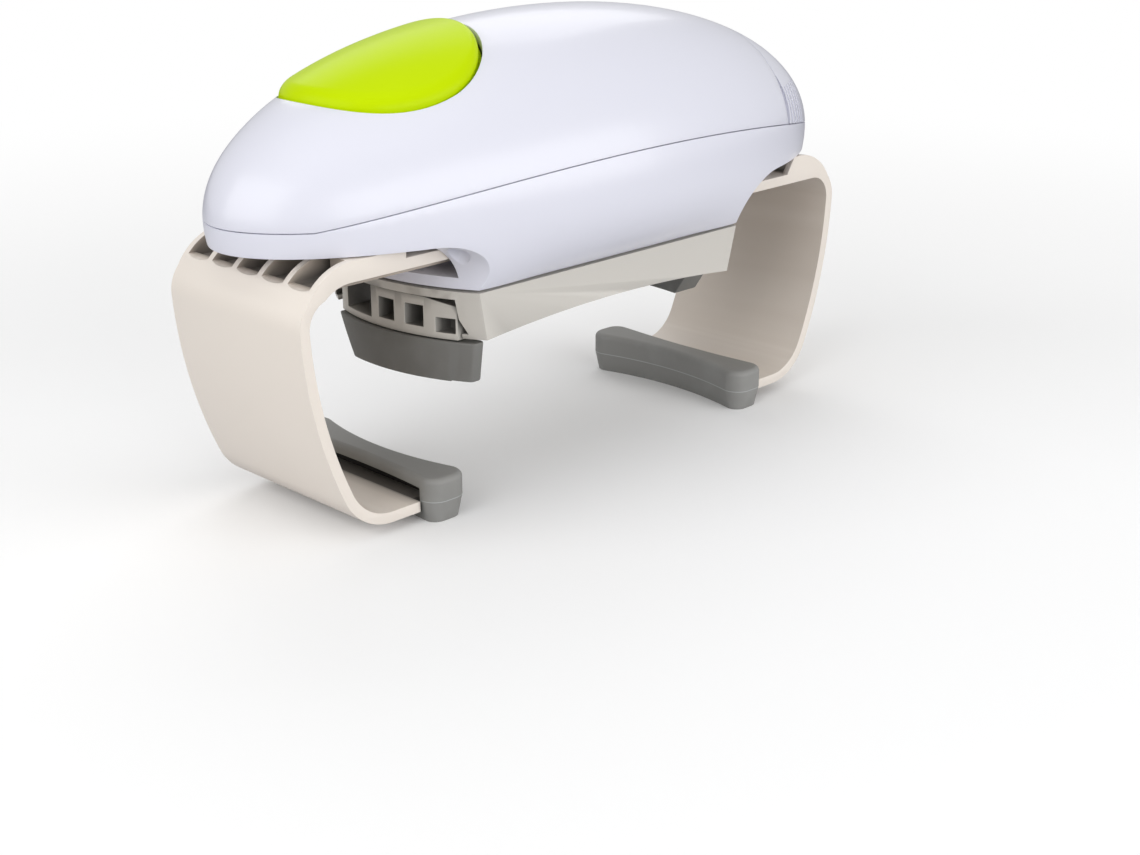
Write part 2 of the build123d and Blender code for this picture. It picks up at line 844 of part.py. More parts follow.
def make_turntable_screws():
    seat = cover_low + cover_screw_head_height
    screws = []
    for place in four_corners(cover_boss_x, cover_boss_y):
        screw = rod(cover_screw_head, cover_low, seat, place)
        screws.append(screw + rod(cover_screw_radius, cover_low, cover_low + cover_screw_length, place))
    return Compound(children=screws)


def make_retaining_clip():
    low = ring_disc_top - ring_play + clip_play
    inner = hub_radius - clip_groove + seat_gap
    clip = tube(clip_radius, inner, low + seat_gap, low + clip_height - seat_gap)
    return clip - block((0, far), (-inner / 2, inner / 2), (-far, far))


# Jaws
def make_jaw():
    """The jaw of the battery end: curved block with pockets, a side tongue and a rack bar."""
    body = common(
        rod(jaw_radius, jaw_low, jaw_top),
        block((jaw_inner_x, far), (-jaw_short_y, jaw_half_width), (-far, far)),
    )
    tongue_span = block((jaw_inner_x, jaw_tongue_x), (0, far), (-far, far))
    body += common(groove_prism(1, jaw_tongue_gap), tongue_span)
    body -= block((0, far), (-jaw_pass_outer, -jaw_pass_inner), (jaw_low + jaw_pass_rise, far))
    floor_x = jaw_inner_x + skin
    window_low = jaw_low + jaw_window_rise
    for number in range(jaw_window_count):
        start = number * jaw_window_pitch
        span = (start, start + jaw_window_width)
        body -= block((floor_x, far), span, (window_low, window_low + jaw_window_height))
    notch_low = jaw_low + jaw_notch_rise
    span = (jaw_notch_y, jaw_notch_y + jaw_notch_width)
    body -= block((floor_x, far), span, (notch_low, notch_low + jaw_notch_height))
    bar = rack(jaw_pitch, jaw_rack_depth, (-jaw_rack_reach, floor_x), (jaw_rack_low, jaw_rack_top), False)
    return body + bar


def make_jaw_pad():
    """The rubber under the jaw of the battery end: square at one end, slanting at the other."""
    long_end = (sqrt(jaw_pad_radius**2 - jaw_pad_long_y**2), jaw_pad_long_y)
    short_end = (sqrt(jaw_pad_radius**2 - jaw_pad_short_y**2), -jaw_pad_short_y)
    tips = [(jaw_pad_tip_x, jaw_pad_long_y), (jaw_pad_tip_x, -jaw_pad_short_y)]
    middle = (jaw_pad_tip_x + jaw_pad_hollow, (jaw_pad_long_y - jaw_pad_short_y) / 2)
    back = ThreePointArc(short_end, (jaw_pad_radius, 0), long_end)
    front = ThreePointArc(tips[0], middle, tips[1])
    plan = make_face([back, Line(long_end, tips[0]), front, Line(tips[1], short_end)])
    plan = fillet(plan.vertices().sort_by(Axis.Y)[-2:], jaw_pad_corner)
    pad = extrude(Pos(0, 0, jaw_low) * plan, amount=-jaw_pad_height)
    low = jaw_low - jaw_pad_height
    slant = Polyline(
        (-jaw_pad_short_y, jaw_low),
        (jaw_pad_lean - jaw_pad_short_y, low),
        (-far, low),
        (-far, jaw_low),
        close=True,
    )
    return pad - extrude(Plane.YZ * make_face(slant), amount=far, both=True)


# Drive train
def make_ring_gear():
    disc = gear(ring_teeth, rack_module, ring_low, ring_disc_top)
    neck = rod(ring_pitch - rack_root, ring_disc_top, cup_low)
    cup = rod(cup_radius, cup_low, cup_top)
    inner_teeth = planet_teeth * 2 + sun_teeth
    tip = ring_inner_pitch + dedendum_share * planet_module
    hollow = gear_face(inner_teeth, planet_module, tip, ring_inner_pitch + open_mesh / 2)
    cup -= extrude(Pos(0, 0, cup_low + cup_floor) * hollow, amount=far)
    bore = rod(spigot_radius + run_gap, -far, ring_disc_top)
    bore += rod(clip_radius + button_gap, ring_disc_top - ring_play, far)
    return disc + neck + cup - bore


def planet_places():
    angles = [2 * pi * number / planet_count for number in range(planet_count)]
    return [(planet_orbit * cos(angle), planet_orbit * sin(angle)) for angle in angles]


def make_planet_carrier():
    carrier = rod(planet_orbit + carrier_rim, carrier_low, carrier_top)
    for place in planet_places():
        carrier += rod(planet_pin_radius, carrier_low, planet_top, place)
    return carrier - rod(shaft_radius + seat_gap, -far, far)


def make_planet_gear(place):
    planet = gear(planet_teeth, planet_module, planet_low, planet_top, tip_cut=open_mesh)
    planet -= rod(planet_pin_radius + run_gap, -far, far)
    return Pos(place[0], place[1], 0) * planet


def make_sun_gear():
    sun = gear(sun_teeth, planet_module, planet_low, sun_wheel_low, tip_cut=open_mesh)
    sun += gear(sun_wheel_teeth, train_module, sun_wheel_low, sun_wheel_top)
    return sun - rod(sun_axle_radius + run_gap, -far, far)


def make_reduction_gear():
    half_pitch = 180 / reduction_pinion_teeth
    wheel = gear(reduction_pinion_teeth, train_module, sun_wheel_low, sun_wheel_top, half_pitch)
    wheel += rod(reduction_hub_radius, sun_wheel_top, first_stage_low)
    wheel += gear(reduction_wheel_teeth, train_module, first_stage_low, first_stage_top)
    wheel -= rod(reduction_axle_radius + run_gap, -far, far)
    return Pos(reduction_x, 0, 0) * wheel


def make_motor_pinion():
    half_pitch = 180 / motor_pinion_teeth
    pinion = gear(motor_pinion_teeth, train_module, first_stage_low, first_stage_top, half_pitch)
    return Pos(motor_x, 0, 0) * (pinion - rod(motor_shaft_radius + seat_gap, -far, far))


def make_gear_axles():
    sun_axle = rod(sun_axle_radius, planet_low, upper_deck_top)
    axle_top = first_stage_top + first_stage_play
    reduction_axle = rod(reduction_axle_radius, deck_low, axle_top, (reduction_x, 0))
    return Compound(children=[sun_axle, reduction_axle])


def make_gear_deck():
    """Lower plate of the gearbox, with four spacers up to the upper plate."""
    front_x = reduction_x - reduction_hub_radius - cup_wall * 3
    front_x = max(front_x, motor_x + motor_radius + ring_play)
    deck = block((front_x, deck_rear_x), (-deck_half_width, deck_half_width), (deck_low, deck_top))
    for place in four_corners(post_x, post_y):
        deck += rod(spacer_radius, deck_low, upper_deck_low, place)
        deck -= rod(gear_screw_radius + run_gap, -far, far, place)
    deck -= rod(sun_radius + button_gap, -far, far)
    return deck - rod(reduction_axle_radius + seat_gap, -far, far, (reduction_x, 0))


def standoff_places():
    places = []
    for x in (board_front_x + standoff_inset, board_rear_x - standoff_inset):
        for sign in (-1, 1):
            places.append((x, sign * (board_half_width - standoff_inset)))
    return places


def make_upper_deck():
    """Upper plate of the gearbox: it carries the motor and the circuit board."""
    levels = (upper_deck_low, upper_deck_top)
    deck = block((-deck_rear_x, deck_rear_x), (-deck_half_width, deck_half_width), levels)
    deck += block((deck_arm_x, deck_rear_x), (-deck_arm_half_width, deck_arm_half_width), levels)
    for place in four_corners(post_x, post_y):
        deck -= rod(gear_screw_radius + run_gap, -far, far, place)
    deck -= rod(sun_axle_radius + seat_gap, -far, far)
    deck -= rod(reduction_hub_radius + run_gap, -far, far, (reduction_x, 0))
    deck -= rod(motor_shaft_radius + button_gap, -far, far, (motor_x, 0))
    for place in standoff_places():
        deck += rod(standoff_radius, upper_deck_low, board_low, place)
    return deck


def make_gear_screws():
    screws = []
    for place in four_corners(post_x, post_y):
        head = rod(gear_screw_head, upper_deck_top, upper_deck_top + gear_screw_head_height, place)
        screws.append(head + rod(gear_screw_radius, deck_low - gear_screw_bite, upper_deck_top, place))
    return Compound(children=screws)


def make_shell_screws():
    seat = base_z + shell_screw_seat
    screws = []
    for place in shell_screw_places():
        head = rod(shell_screw_head, seat - shell_screw_head_height, seat, place)
        screws.append(head + rod(shell_screw_radius, seat, seat + shell_screw_length, place))
    return Compound(children=screws)


# Motor
def motor_section(low, high):
    can = rod(motor_radius, low, high, (motor_x, 0))
    return common(can, block((-far, far), (-motor_flat, motor_flat), (-far, far)))


def make_motor_can():
    can = motor_section(motor_low + motor_cap_height, upper_deck_low)
    tail = upper_deck_low - motor_shaft_tail
    return can - rod(motor_shaft_radius + run_gap, tail, far, (motor_x, 0))


def make_motor_cap():
    return motor_section(motor_low, motor_low + motor_cap_height)


def make_motor_shaft():
    tail = upper_deck_low - motor_shaft_tail + run_gap
    return rod(motor_shaft_radius, tail, first_stage_top + ring_play, (motor_x, 0))


# Circuit board, switch and return spring
def make_circuit_board():
    half = board_half_width
    return block((board_front_x, board_rear_x), (-half, half), (board_low, board_top))


def make_switch_body():
    half = switch_size / 2
    body = block((stem_x - half, stem_x + half), (-half, half), (board_top, switch_top))
    return body - rod(plunger_radius + run_gap, switch_top - plunger_depth - button_travel, far, (stem_x, 0))


def make_switch_plunger():
    return rod(plunger_radius, switch_top - plunger_depth, plunger_top, (stem_x, 0))


def coil(radius, wire, low, high, turns):
    """An upright coil spring between two levels."""
    path = Helix((high - low - wire) / turns, high - low - wire, radius)
    start = Plane(path @ 0, z_dir=path % 0)
    return Pos(0, 0, low + wire / 2) * sweep(start * Circle(wire / 2), path)


def make_button_spring():
    outer_x = stem_x - spring_radius - spring_wire
    seat = hull_height(outer_x, wall + button_flange_drop + button_flange_thickness)
    low = board_top + spring_end_gap
    spring = coil(spring_radius, spring_wire, low, seat - spring_end_gap, spring_turns)
    return Pos(stem_x, 0, 0) * spring


def hull_height(x, inset):
    """Height of the egg's crest at a place along its length."""
    share = (x - body_shift) / (half_length - inset)
    return mid_z + (half_width - inset) * sqrt(1 - share**2)


# Cells and their bay
def lying_rod(radius, x_span, y, z):
    length = x_span[1] - x_span[0]
    return Pos(x_span[0], y, z) * Rot(0, 90, 0) * Cylinder(radius, length, align=FOOT)


def bay_middle():
    return (bay_front_x + bay_rear_x) / 2


def swap_ends(shape):
    """Turn a piece of one cell's half of the bay round for the other cell."""
    return Pos(bay_middle(), 0, 0) * Rot(0, 0, 180) * Pos(-bay_middle(), 0, 0) * shape


def make_cell():
    start = bay_front_x + contact_spring_length
    end = start + cell_length
    cell = lying_rod(cell_radius, (start, end), -cell_y, cell_z)
    return cell + lying_rod(cell_nub_radius, (start, end + cell_nub_length - seat_gap), -cell_y, cell_z)


def make_contact_spring():
    length = contact_spring_length - seat_gap
    spring = coil(contact_spring_radius, contact_wire, seat_gap, length, contact_turns)
    return Pos(bay_front_x, -cell_y, cell_z) * Rot(0, 90, 0) * spring


def make_contact_plate():
    low = cell_z - contact_spring_radius - contact_wire
    high = cell_z + contact_spring_radius + contact_wire
    half = contact_spring_radius + contact_wire
    span = (bay_front_x - contact_thickness, bay_front_x)
    return block(span, (-cell_y - half, -cell_y + half), (low, high))


def make_battery_bay():
    front = bay_front_x - contact_thickness - bay_wall
    rear = bay_rear_x + contact_thickness + bay_wall
    half = bay_half_width
    inner_half = half - bay_wall
    bay = block((front, rear), (-half, half), (bay_low, bay_low + bay_wall + bay_wall_height))
    end_levels = (bay_low, cell_z + bay_end_height / 2)
    bay += block((front, front + bay_wall), (-inner_half, inner_half), end_levels)
    bay += block((rear - bay_wall, rear), (-inner_half, inner_half), end_levels)
    inside_x = (front + bay_wall, rear - bay_wall)
    bay -= block(inside_x, (-inner_half, inner_half), (bay_low + bay_wall, far))
    for middle in (roof_start + bay_foot_width, rear - bay_foot_width):
        span = (middle - bay_foot_width / 2, middle + bay_foot_width / 2)
        bay += block(span, (-half, half), (roof_z, bay_low))
    return bay


def make_lead():
    """One lead: up beside the gearbox, along above the upper plate, in to the board."""
    corner_x = bay_front_x - contact_thickness - bay_wall - lead_margin
    top = upper_deck_top + lead_lift
    inner_y = board_half_width - lead_radius
    points = [
        (bay_front_x - contact_thickness - bay_wall - lead_radius, cell_y, cell_z),
        (corner_x, cell_y, cell_z),
        (corner_x, lead_y, cell_z),
        (corner_x, lead_y, top),
        (board_rear_x + lead_margin, lead_y, top),
        (board_rear_x + lead_margin, inner_y, top),
        (board_rear_x + lead_margin, inner_y, board_low + board_thickness / 2),
        (board_rear_x, inner_y, board_low + board_thickness / 2),
    ]
    path = FilletPolyline(*points, radius=lead_radius * 1.4)
    start = Plane(path @ 0, z_dir=path % 0)
    return sweep(start * Circle(lead_radius), path)


jaw_rack_reach = jaw_travel_out + rack_pitch * 1.6

outer_hull = hull(0)
inner_hull = hull(wall)
cell = make_cell()
rear_arm = make_arm()
rear_arm_pad = make_arm_pad()
rear_jaw = make_jaw()
rear_jaw_pad = make_jaw_pad()
contact_spring = make_contact_spring()
contact_plate = make_contact_plate()
lead = make_lead()

nodes = {
    "top_shell": make_top_shell(outer_hull, inner_hull),
    "bottom_shell": make_bottom_shell(outer_hull, inner_hull),
    "battery_door": make_battery_door(outer_hull, inner_hull),
    "push_button": make_push_button(),
    "rear_arm": rear_arm,
    "front_arm": half_turn(rear_arm),
    "rear_arm_pad": rear_arm_pad,
    "front_arm_pad": half_turn(rear_arm_pad),
    "turntable_housing": make_turntable_housing(),
    "turntable_cover": make_turntable_cover(),
    "turntable_screws": make_turntable_screws(),
    "retaining_clip": make_retaining_clip(),
    "thrust_washer": tube(washer_outer, washer_inner, turntable_top, base_z - washer_play),
    "rear_jaw": rear_jaw,
    "front_jaw": half_turn(rear_jaw),
    "rear_jaw_pad": rear_jaw_pad,
    "front_jaw_pad": half_turn(rear_jaw_pad),
    "jaw_pinion": gear(jaw_teeth, rack_module, cover_top + ring_play, turntable_ceiling - ring_play)
    - rod(shaft_radius + seat_gap, -far, far),
    "output_shaft": rod(shaft_radius, cover_top + ring_play, carrier_top),
    "planet_carrier": make_planet_carrier(),
    "ring_gear": make_ring_gear(),
    "sun_gear": make_sun_gear(),
    "reduction_gear": make_reduction_gear(),
    "motor_pinion": make_motor_pinion(),
    "motor_shaft": make_motor_shaft(),
    "motor_can": make_motor_can(),
    "motor_cap": make_motor_cap(),
    "gear_axles": make_gear_axles(),
    "gear_deck": make_gear_deck(),
    "upper_deck": make_upper_deck(),
    "gear_screws": make_gear_screws(),
    "shell_screws": make_shell_screws(),
    "circuit_board": make_circuit_board(),
    "switch_body": make_switch_body(),
    "switch_plunger": make_switch_plunger(),
    "button_spring": make_button_spring(),
    "battery_bay": make_battery_bay(),
    "left_cell": cell,
    "right_cell": swap_ends(cell),
    "contact_springs": Compound(children=[contact_spring, swap_ends(contact_spring)]),
    "contact_plates": Compound(children=[contact_plate, swap_ends(contact_plate)]),
    "power_leads": Compound(children=[lead, mirror(lead, about=Plane.XZ)]),
}
for letter, place in zip("abc", planet_places()):
    nodes["planet_gear_" + letter] = make_planet_gear(place)

os.makedirs("parts", exist_ok=True)
for name, shape in nodes.items():
    export_step(Pos(-body_shift, 0, 0) * shape, "parts/" + name + ".step")
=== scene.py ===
# %% [markdown]
# # A battery powered twist opener, dressed for a studio picture
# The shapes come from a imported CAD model: an egg-shaped white body with a lime green button, two
# C-shaped grey arms with rubber pads, and a turntable with two jaws under the body. The CAD model
# stays the measure of every size and place. This lesson gives each piece the softer edges, the small
# parts and the finish that the real moulding has.

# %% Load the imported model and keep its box
import bpy
import bmesh
import json
import math
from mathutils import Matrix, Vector
from mathutils.bvhtree import BVHTree


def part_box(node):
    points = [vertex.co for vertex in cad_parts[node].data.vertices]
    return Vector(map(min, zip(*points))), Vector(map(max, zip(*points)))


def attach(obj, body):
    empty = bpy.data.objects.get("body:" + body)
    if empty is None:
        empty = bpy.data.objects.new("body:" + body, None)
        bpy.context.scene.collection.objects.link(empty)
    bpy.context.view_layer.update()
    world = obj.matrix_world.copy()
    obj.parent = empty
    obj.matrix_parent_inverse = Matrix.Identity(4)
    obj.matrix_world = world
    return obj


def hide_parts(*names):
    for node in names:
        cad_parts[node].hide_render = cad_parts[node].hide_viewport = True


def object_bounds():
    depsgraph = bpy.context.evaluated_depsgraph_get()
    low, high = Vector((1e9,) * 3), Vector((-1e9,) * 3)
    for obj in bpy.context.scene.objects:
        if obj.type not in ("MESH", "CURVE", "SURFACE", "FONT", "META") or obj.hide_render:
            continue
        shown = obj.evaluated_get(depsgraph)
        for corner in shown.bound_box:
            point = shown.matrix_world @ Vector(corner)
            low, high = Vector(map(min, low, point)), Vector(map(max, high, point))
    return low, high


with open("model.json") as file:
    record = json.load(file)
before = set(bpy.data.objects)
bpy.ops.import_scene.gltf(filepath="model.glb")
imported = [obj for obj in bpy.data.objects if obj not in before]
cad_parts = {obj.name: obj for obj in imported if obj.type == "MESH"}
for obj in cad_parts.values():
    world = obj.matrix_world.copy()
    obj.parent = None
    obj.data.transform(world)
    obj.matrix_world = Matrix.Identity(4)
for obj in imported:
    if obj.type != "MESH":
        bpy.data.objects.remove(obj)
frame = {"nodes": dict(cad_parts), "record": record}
cad_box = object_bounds()
MM = 0.001
slot_of = {entry["node"]: entry["material_slot"] for entry in frame["record"]["subparts"]}
body_of = {node: body for body, nodes in frame["record"]["behaviour"]["bodies"].items() for node in nodes}


# %% [markdown]
# ## Sums on sockets
# A node tree for a finish is mostly arithmetic. Written out as nodes and links it is hard to read,
# so a small class wraps a socket and lets plain Python sums make the Math nodes. Every other node
# comes from one method that takes its type, its settings and what goes into its sockets. The same
# two classes serve materials, the surround and the Geometry Nodes further down.

# %% A socket that can be added and multiplied
class Field:
    def __init__(self, tree, socket):
        self.tree = tree
        self.socket = socket

    def math(self, operation, other=None, swapped=False):
        pair = [self] if other is None else [other, self] if swapped else [self, other]
        return self.tree.node("ShaderNodeMath", {"operation": operation}, dict(enumerate(pair)))

    def __add__(self, other):
        return self.math("ADD", other)

    def __radd__(self, other):
        return self.math("ADD", other, True)

    def __sub__(self, other):
        return self.math("SUBTRACT", other)

    def __rsub__(self, other):
        return self.math("SUBTRACT", other, True)

    def __mul__(self, other):
        return self.math("MULTIPLY", other)

    def __rmul__(self, other):
        return self.math("MULTIPLY", other, True)

    def __truediv__(self, other):
        return self.math("DIVIDE", other)

    def __rtruediv__(self, other):
        return self.math("DIVIDE", other, True)

    def ramp(self, low, high):
        """0 below one value, 1 above another and straight between them."""
        return self.tree.node("ShaderNodeMapRange", {"clamp": True},
                              {"Value": self, "From Min": low, "From Max": high})


class Tree:
    def __init__(self, node_tree):
        self.nodes = node_tree.nodes
        self.links = node_tree.links

    def node(self, kind, settings=None, inputs=None, output=0):
        """Add a node; a list of values goes into one socket that takes several links."""
        made = self.nodes.new(kind)
        for name, value in (settings or {}).items():
            setattr(made, name, value)
        for name, value in (inputs or {}).items():
            for one in value if isinstance(value, list) else [value]:
                if isinstance(one, Field):
                    self.links.new(one.socket, made.inputs[name])
                else:
                    made.inputs[name].default_value = one
        return Field(self, made.outputs[output]) if made.outputs else made


print("helpers ready")

# %% [markdown]
# ## Camera
# The picture looks slightly down at the button end, with the body running away to the right. The
# place of the camera was worked out from the perspective of the body and the arms.

# %% Camera at the photograph's angle
PHOTO_WIDTH = 1140
FOCAL_PIXELS = 1800.0
SENSOR_WIDTH = 36.0
CAMERA_PLACE = Vector((-0.33777, -0.34531, 0.17896))
CAMERA_TARGET = Vector((-0.00360, -0.01588, 0.00631))


def linked(name, data):
    """An object of that name in the scene."""
    thing = bpy.data.objects.new(name, data)
    bpy.context.scene.collection.objects.link(thing)
    return thing


def aim(thing, place, target):
    thing.location = place
    thing.rotation_euler = (Vector(target) - Vector(place)).to_track_quat("-Z", "Y").to_euler()


camera_data = bpy.data.cameras.new("camera")
camera_data.sensor_fit = "HORIZONTAL"
camera_data.sensor_width = SENSOR_WIDTH
camera_data.lens = FOCAL_PIXELS / PHOTO_WIDTH * SENSOR_WIDTH
camera = linked("camera", camera_data)
aim(camera, CAMERA_PLACE, CAMERA_TARGET)
bpy.context.scene.camera = camera
bpy.context.scene.view_settings.view_transform = "Standard"
print("lens %.1f mm" % camera_data.lens)

# %% [markdown]
# ## Studio
# White plastic on white needs soft light that still falls off across the body. Two large boxes do most
# of the work: one beyond the button end and one that faces the near side. Weaker boxes behind and above
# keep the far edge and the crown from going grey, and a white surround fills the rest. The surround is
# brighter for the camera than for the piece, so the backdrop is white while the body keeps its shading.


# %% Lamps
def soft_box(name, place, target, size, power):
    data = bpy.data.lights.new(name, "AREA")
    data.shape = "RECTANGLE"
    data.size, data.size_y = size
    data.energy = power
    aim(linked(name, data), place, target)


soft_box("key_box", (-1.05, 0.05, 0.55), (0, 0, 0.06), (1.4, 0.9), 8.2)
soft_box("fill_box", (0.15, -1.00, 0.22), (0, 0, 0.05), (1.6, 0.7), 9.2)
soft_box("rim_box", (0.5, 0.6, 0.7), (0, 0, 0.08), (0.8, 0.6), 2.2)
soft_box("top_box", (-0.1, -0.2, 1.2), (0, 0, 0.08), (1.2, 1.2), 2.0)
print("lamps:", len(bpy.data.lights))

# %% White surround
SURROUND_LIGHT = 0.44
world = bpy.data.worlds.new("surround")
world.use_nodes = True
world.node_tree.nodes.clear()
sky = Tree(world.node_tree)
ray = "ShaderNodeLightPath"
seen = sky.node(ray, output="Is Camera Ray") + sky.node(ray, output="Is Transmission Ray")
level = SURROUND_LIGHT + seen * (1 - SURROUND_LIGHT)
light = sky.node("ShaderNodeBackground", None, {"Color": (1, 1, 1, 1), "Strength": level})
sky.node("ShaderNodeOutputWorld", None, {"Surface": light})
bpy.context.scene.world = world
print("surround: %.2f" % SURROUND_LIGHT)


# %% [markdown]
# ## Finishes
# The body is polished white plastic with a cool cast, the button the same plastic in lime. The arms
# and the turntable are satin: the steel of their mould was spark eroded, which leaves a fine grain.
# The pads are soft rubber, duller still and slightly dusty. All patterns read object coordinates,
# which are metres, so a grain of a tenth of a millimetre has a scale of some thousands.


# %% A blank material and the parts that most finishes share
def blank(name):
    material = bpy.data.materials.new(name)
    material.use_nodes = True
    material.node_tree.nodes.clear()
    return material, Tree(material.node_tree)


def place_on(tree, axis=None):
    """Where a point lies on the piece in metres, or its place along one axis."""
    place = tree.node("ShaderNodeTexCoord", output="Object")
    return tree.node("ShaderNodeSeparateXYZ", None, {0: place}, output=axis) if axis else place


def noise(tree, scale, detail=2.0, stretch=(1, 1, 1)):
    """Noise on object coordinates, drawn out along an axis by a small stretch value."""
    place = tree.node("ShaderNodeVectorMath", {"operation": "MULTIPLY"}, {0: place_on(tree), 1: stretch})
    return tree.node("ShaderNodeTexNoise", None, {"Vector": place, "Scale": scale, "Detail": detail})


def blend(tree, share, first, second):
    first = first if isinstance(first, Field) else (*first, 1)
    second = second if isinstance(second, Field) else (*second, 1)
    return tree.node("ShaderNodeMix", {"data_type": "RGBA"}, {0: share, 6: first, 7: second}, output=2)


def surface(tree, colour, gloss, height, depth, **constants):
    bump = tree.node("ShaderNodeBump", None, {"Strength": 1.0, "Distance": depth, "Height": height})
    sockets = {"Base Color": colour, "Roughness": gloss, "Normal": bump}
    sockets.update({name.replace("_", " "): value for name, value in constants.items()})
    shader = tree.node("ShaderNodeBsdfPrincipled", None, sockets)
    tree.node("ShaderNodeOutputMaterial", None, {"Surface": shader})


print("material helpers ready")


# %% Floor that fades into the white surround
FLOOR_RADIUS = 4.0
FLOOR_SIDES = 96
FADE_START, FADE_END = 0.18, 0.55
FLOOR_SEEN = (0.97, 0.97, 0.97)
FLOOR_BOUNCE = (0.60, 0.60, 0.61)


def make_floor():
    mesh = bpy.data.meshes.new("floor")
    shape = bmesh.new()
    bmesh.ops.create_circle(shape, cap_ends=True, segments=FLOOR_SIDES, radius=FLOOR_RADIUS)
    shape.to_mesh(mesh)
    shape.free()
    material, tree = blank("pale_floor")
    distance = tree.node("ShaderNodeVectorMath", {"operation": "LENGTH"}, {0: place_on(tree)}, output="Value")
    fade = tree.node("ShaderNodeMapRange", {"interpolation_type": "SMOOTHSTEP"},
                     {"Value": distance, "From Min": FADE_START, "From Max": FADE_END})
    seen = tree.node("ShaderNodeLightPath", output="Is Camera Ray")
    shade = blend(tree, seen, FLOOR_BOUNCE, FLOOR_SEEN)
    matt = tree.node("ShaderNodeBsdfDiffuse", None, {"Color": shade})
    white = tree.node("ShaderNodeEmission", None, {"Color": (1, 1, 1, 1), "Strength": seen})
    mixed = tree.node("ShaderNodeMixShader", None, {0: fade, 1: matt, 2: white})
    tree.node("ShaderNodeOutputMaterial", None, {"Surface": mixed})
    mesh.materials.append(material)
    linked("floor", mesh)


make_floor()
print("floor laid")

# %% [markdown]
# ## Moulded plastic
# One recipe serves every plastic. A cloud blends in a second shade and makes the gloss uneven, and a fine
# grain is the texture of the mould. Two numbers that the mouldings carry at each point darken it further
# as painted shade: `shut_in` is high deep in a pocket, and the other number on the inner face of an arm.

# %% Plastics
CLOUD_SCALE = 28.0
GLOSS_SPREAD = 0.1
COAT_ROUGHNESS = 0.12
# painted shade on the inner face of an arm: where it starts and how dark it gets
INNER_SHADE_RANGE = (0.08, 0.40)
INNER_SHADE_TINT = (0.66, 0.61, 0.56)
# painted shade deep in pockets: where it starts and how dark it gets
POCKET_SHADE_RANGE = (0.2, 0.6)
POCKET_SHADE_TINT = (0.22, 0.22, 0.22)


def carried(tree, label, spread):
    """A number that the mesh carries, stretched from a range to 0 and 1; 0 where a mesh has none."""
    return tree.node("ShaderNodeAttribute", {"attribute_name": label}, output="Fac").ramp(*spread)


def dimmed(colour, factors):
    return tuple(channel * factor for channel, factor in zip(colour, factors))


def moulded(name, colour, shade, roughness, grain_scale, grain_depth, coat=0.0, shine=0.5):
    material, tree = blank(name)
    cloud = noise(tree, CLOUD_SCALE, 3.0)
    tint = blend(tree, cloud, colour, shade)
    # painted shade on the inner faces of the arms
    tint = blend(tree, carried(tree, "inner_shade", INNER_SHADE_RANGE), tint, dimmed(colour, INNER_SHADE_TINT))
    # painted shade deep in pockets, by how shut in each point is
    tint = blend(tree, carried(tree, "shut_in", POCKET_SHADE_RANGE), tint, dimmed(colour, POCKET_SHADE_TINT))
    gloss = roughness + (cloud - 0.5) * (GLOSS_SPREAD * roughness)
    surface(tree, tint, gloss, noise(tree, grain_scale), grain_depth,
            Coat_Weight=coat, Coat_Roughness=COAT_ROUGHNESS, Specular_IOR_Level=shine)
    return material


finish = {}
for name, colour, shade, roughness, grain_scale, grain_depth in (
    ("arm_grey", (0.82, 0.755, 0.685), (0.79, 0.725, 0.655), 0.45, 3500, 0.012),
    ("carriage_grey", (0.62, 0.595, 0.55), (0.59, 0.565, 0.52), 0.42, 3500, 0.012),
    ("gear_plastic", (0.78, 0.75, 0.64), (0.74, 0.71, 0.60), 0.35, 2500, 0.005),
    ("frame_plastic", (0.60, 0.60, 0.62), (0.56, 0.56, 0.58), 0.45, 3000, 0.010),
    ("black_plastic", (0.012, 0.012, 0.013), (0.02, 0.02, 0.02), 0.4, 3000, 0.010),
    ("switch_cap", (0.55, 0.02, 0.015), (0.5, 0.02, 0.015), 0.4, 3000, 0.006),
    ("lead_jacket", (0.33, 0.012, 0.012), (0.29, 0.012, 0.012), 0.35, 2500, 0.004),
):
    finish[name] = moulded(name, colour, shade, roughness, grain_scale, grain_depth * MM)
finish["white_shell"] = moulded(
    "white_shell", (0.75, 0.755, 0.84), (0.745, 0.75, 0.835), 0.31, 900, 0.002 * MM, coat=0.2)
finish["lime_button"] = moulded(
    "lime_button", (0.55, 0.74, 0.0), (0.53, 0.72, 0.0), 0.30, 900, 0.003 * MM, shine=0.06)
print("plastics:", len(finish))

# %% [markdown]
# ## Rubber
# Rubber is never one grey. It takes up dust, which shows as a pale bloom, and its skin is pitted. Where
# the two halves of an arm pad's mould met, a thin pale line runs round the pad.

# %% Rubber with dust and the line of its mould
RUBBER_ROUGHNESS = 0.62
RUBBER_SPREAD = 0.16
DUST_SCALE = 90.0
DUST_RANGE = (0.45, 0.75)
PIT_SCALE = 1600.0
PIT_DEPTH = 0.012 * MM
SEAM_HALF_WIDTH = (0.06 * MM, 0.16 * MM)
SEAM_HEIGHT = 2.0
SEAM_COLOUR = (0.40, 0.41, 0.41)
# painted shade in the slot under an arm pad's lip: where it starts and its near-black colour
SLOT_SHADE_RANGE = (0.25, 0.6)
SLOT_SHADE_COLOUR = (0.012, 0.011, 0.010)
ARM_PAD_SEAM = 5.8 * MM


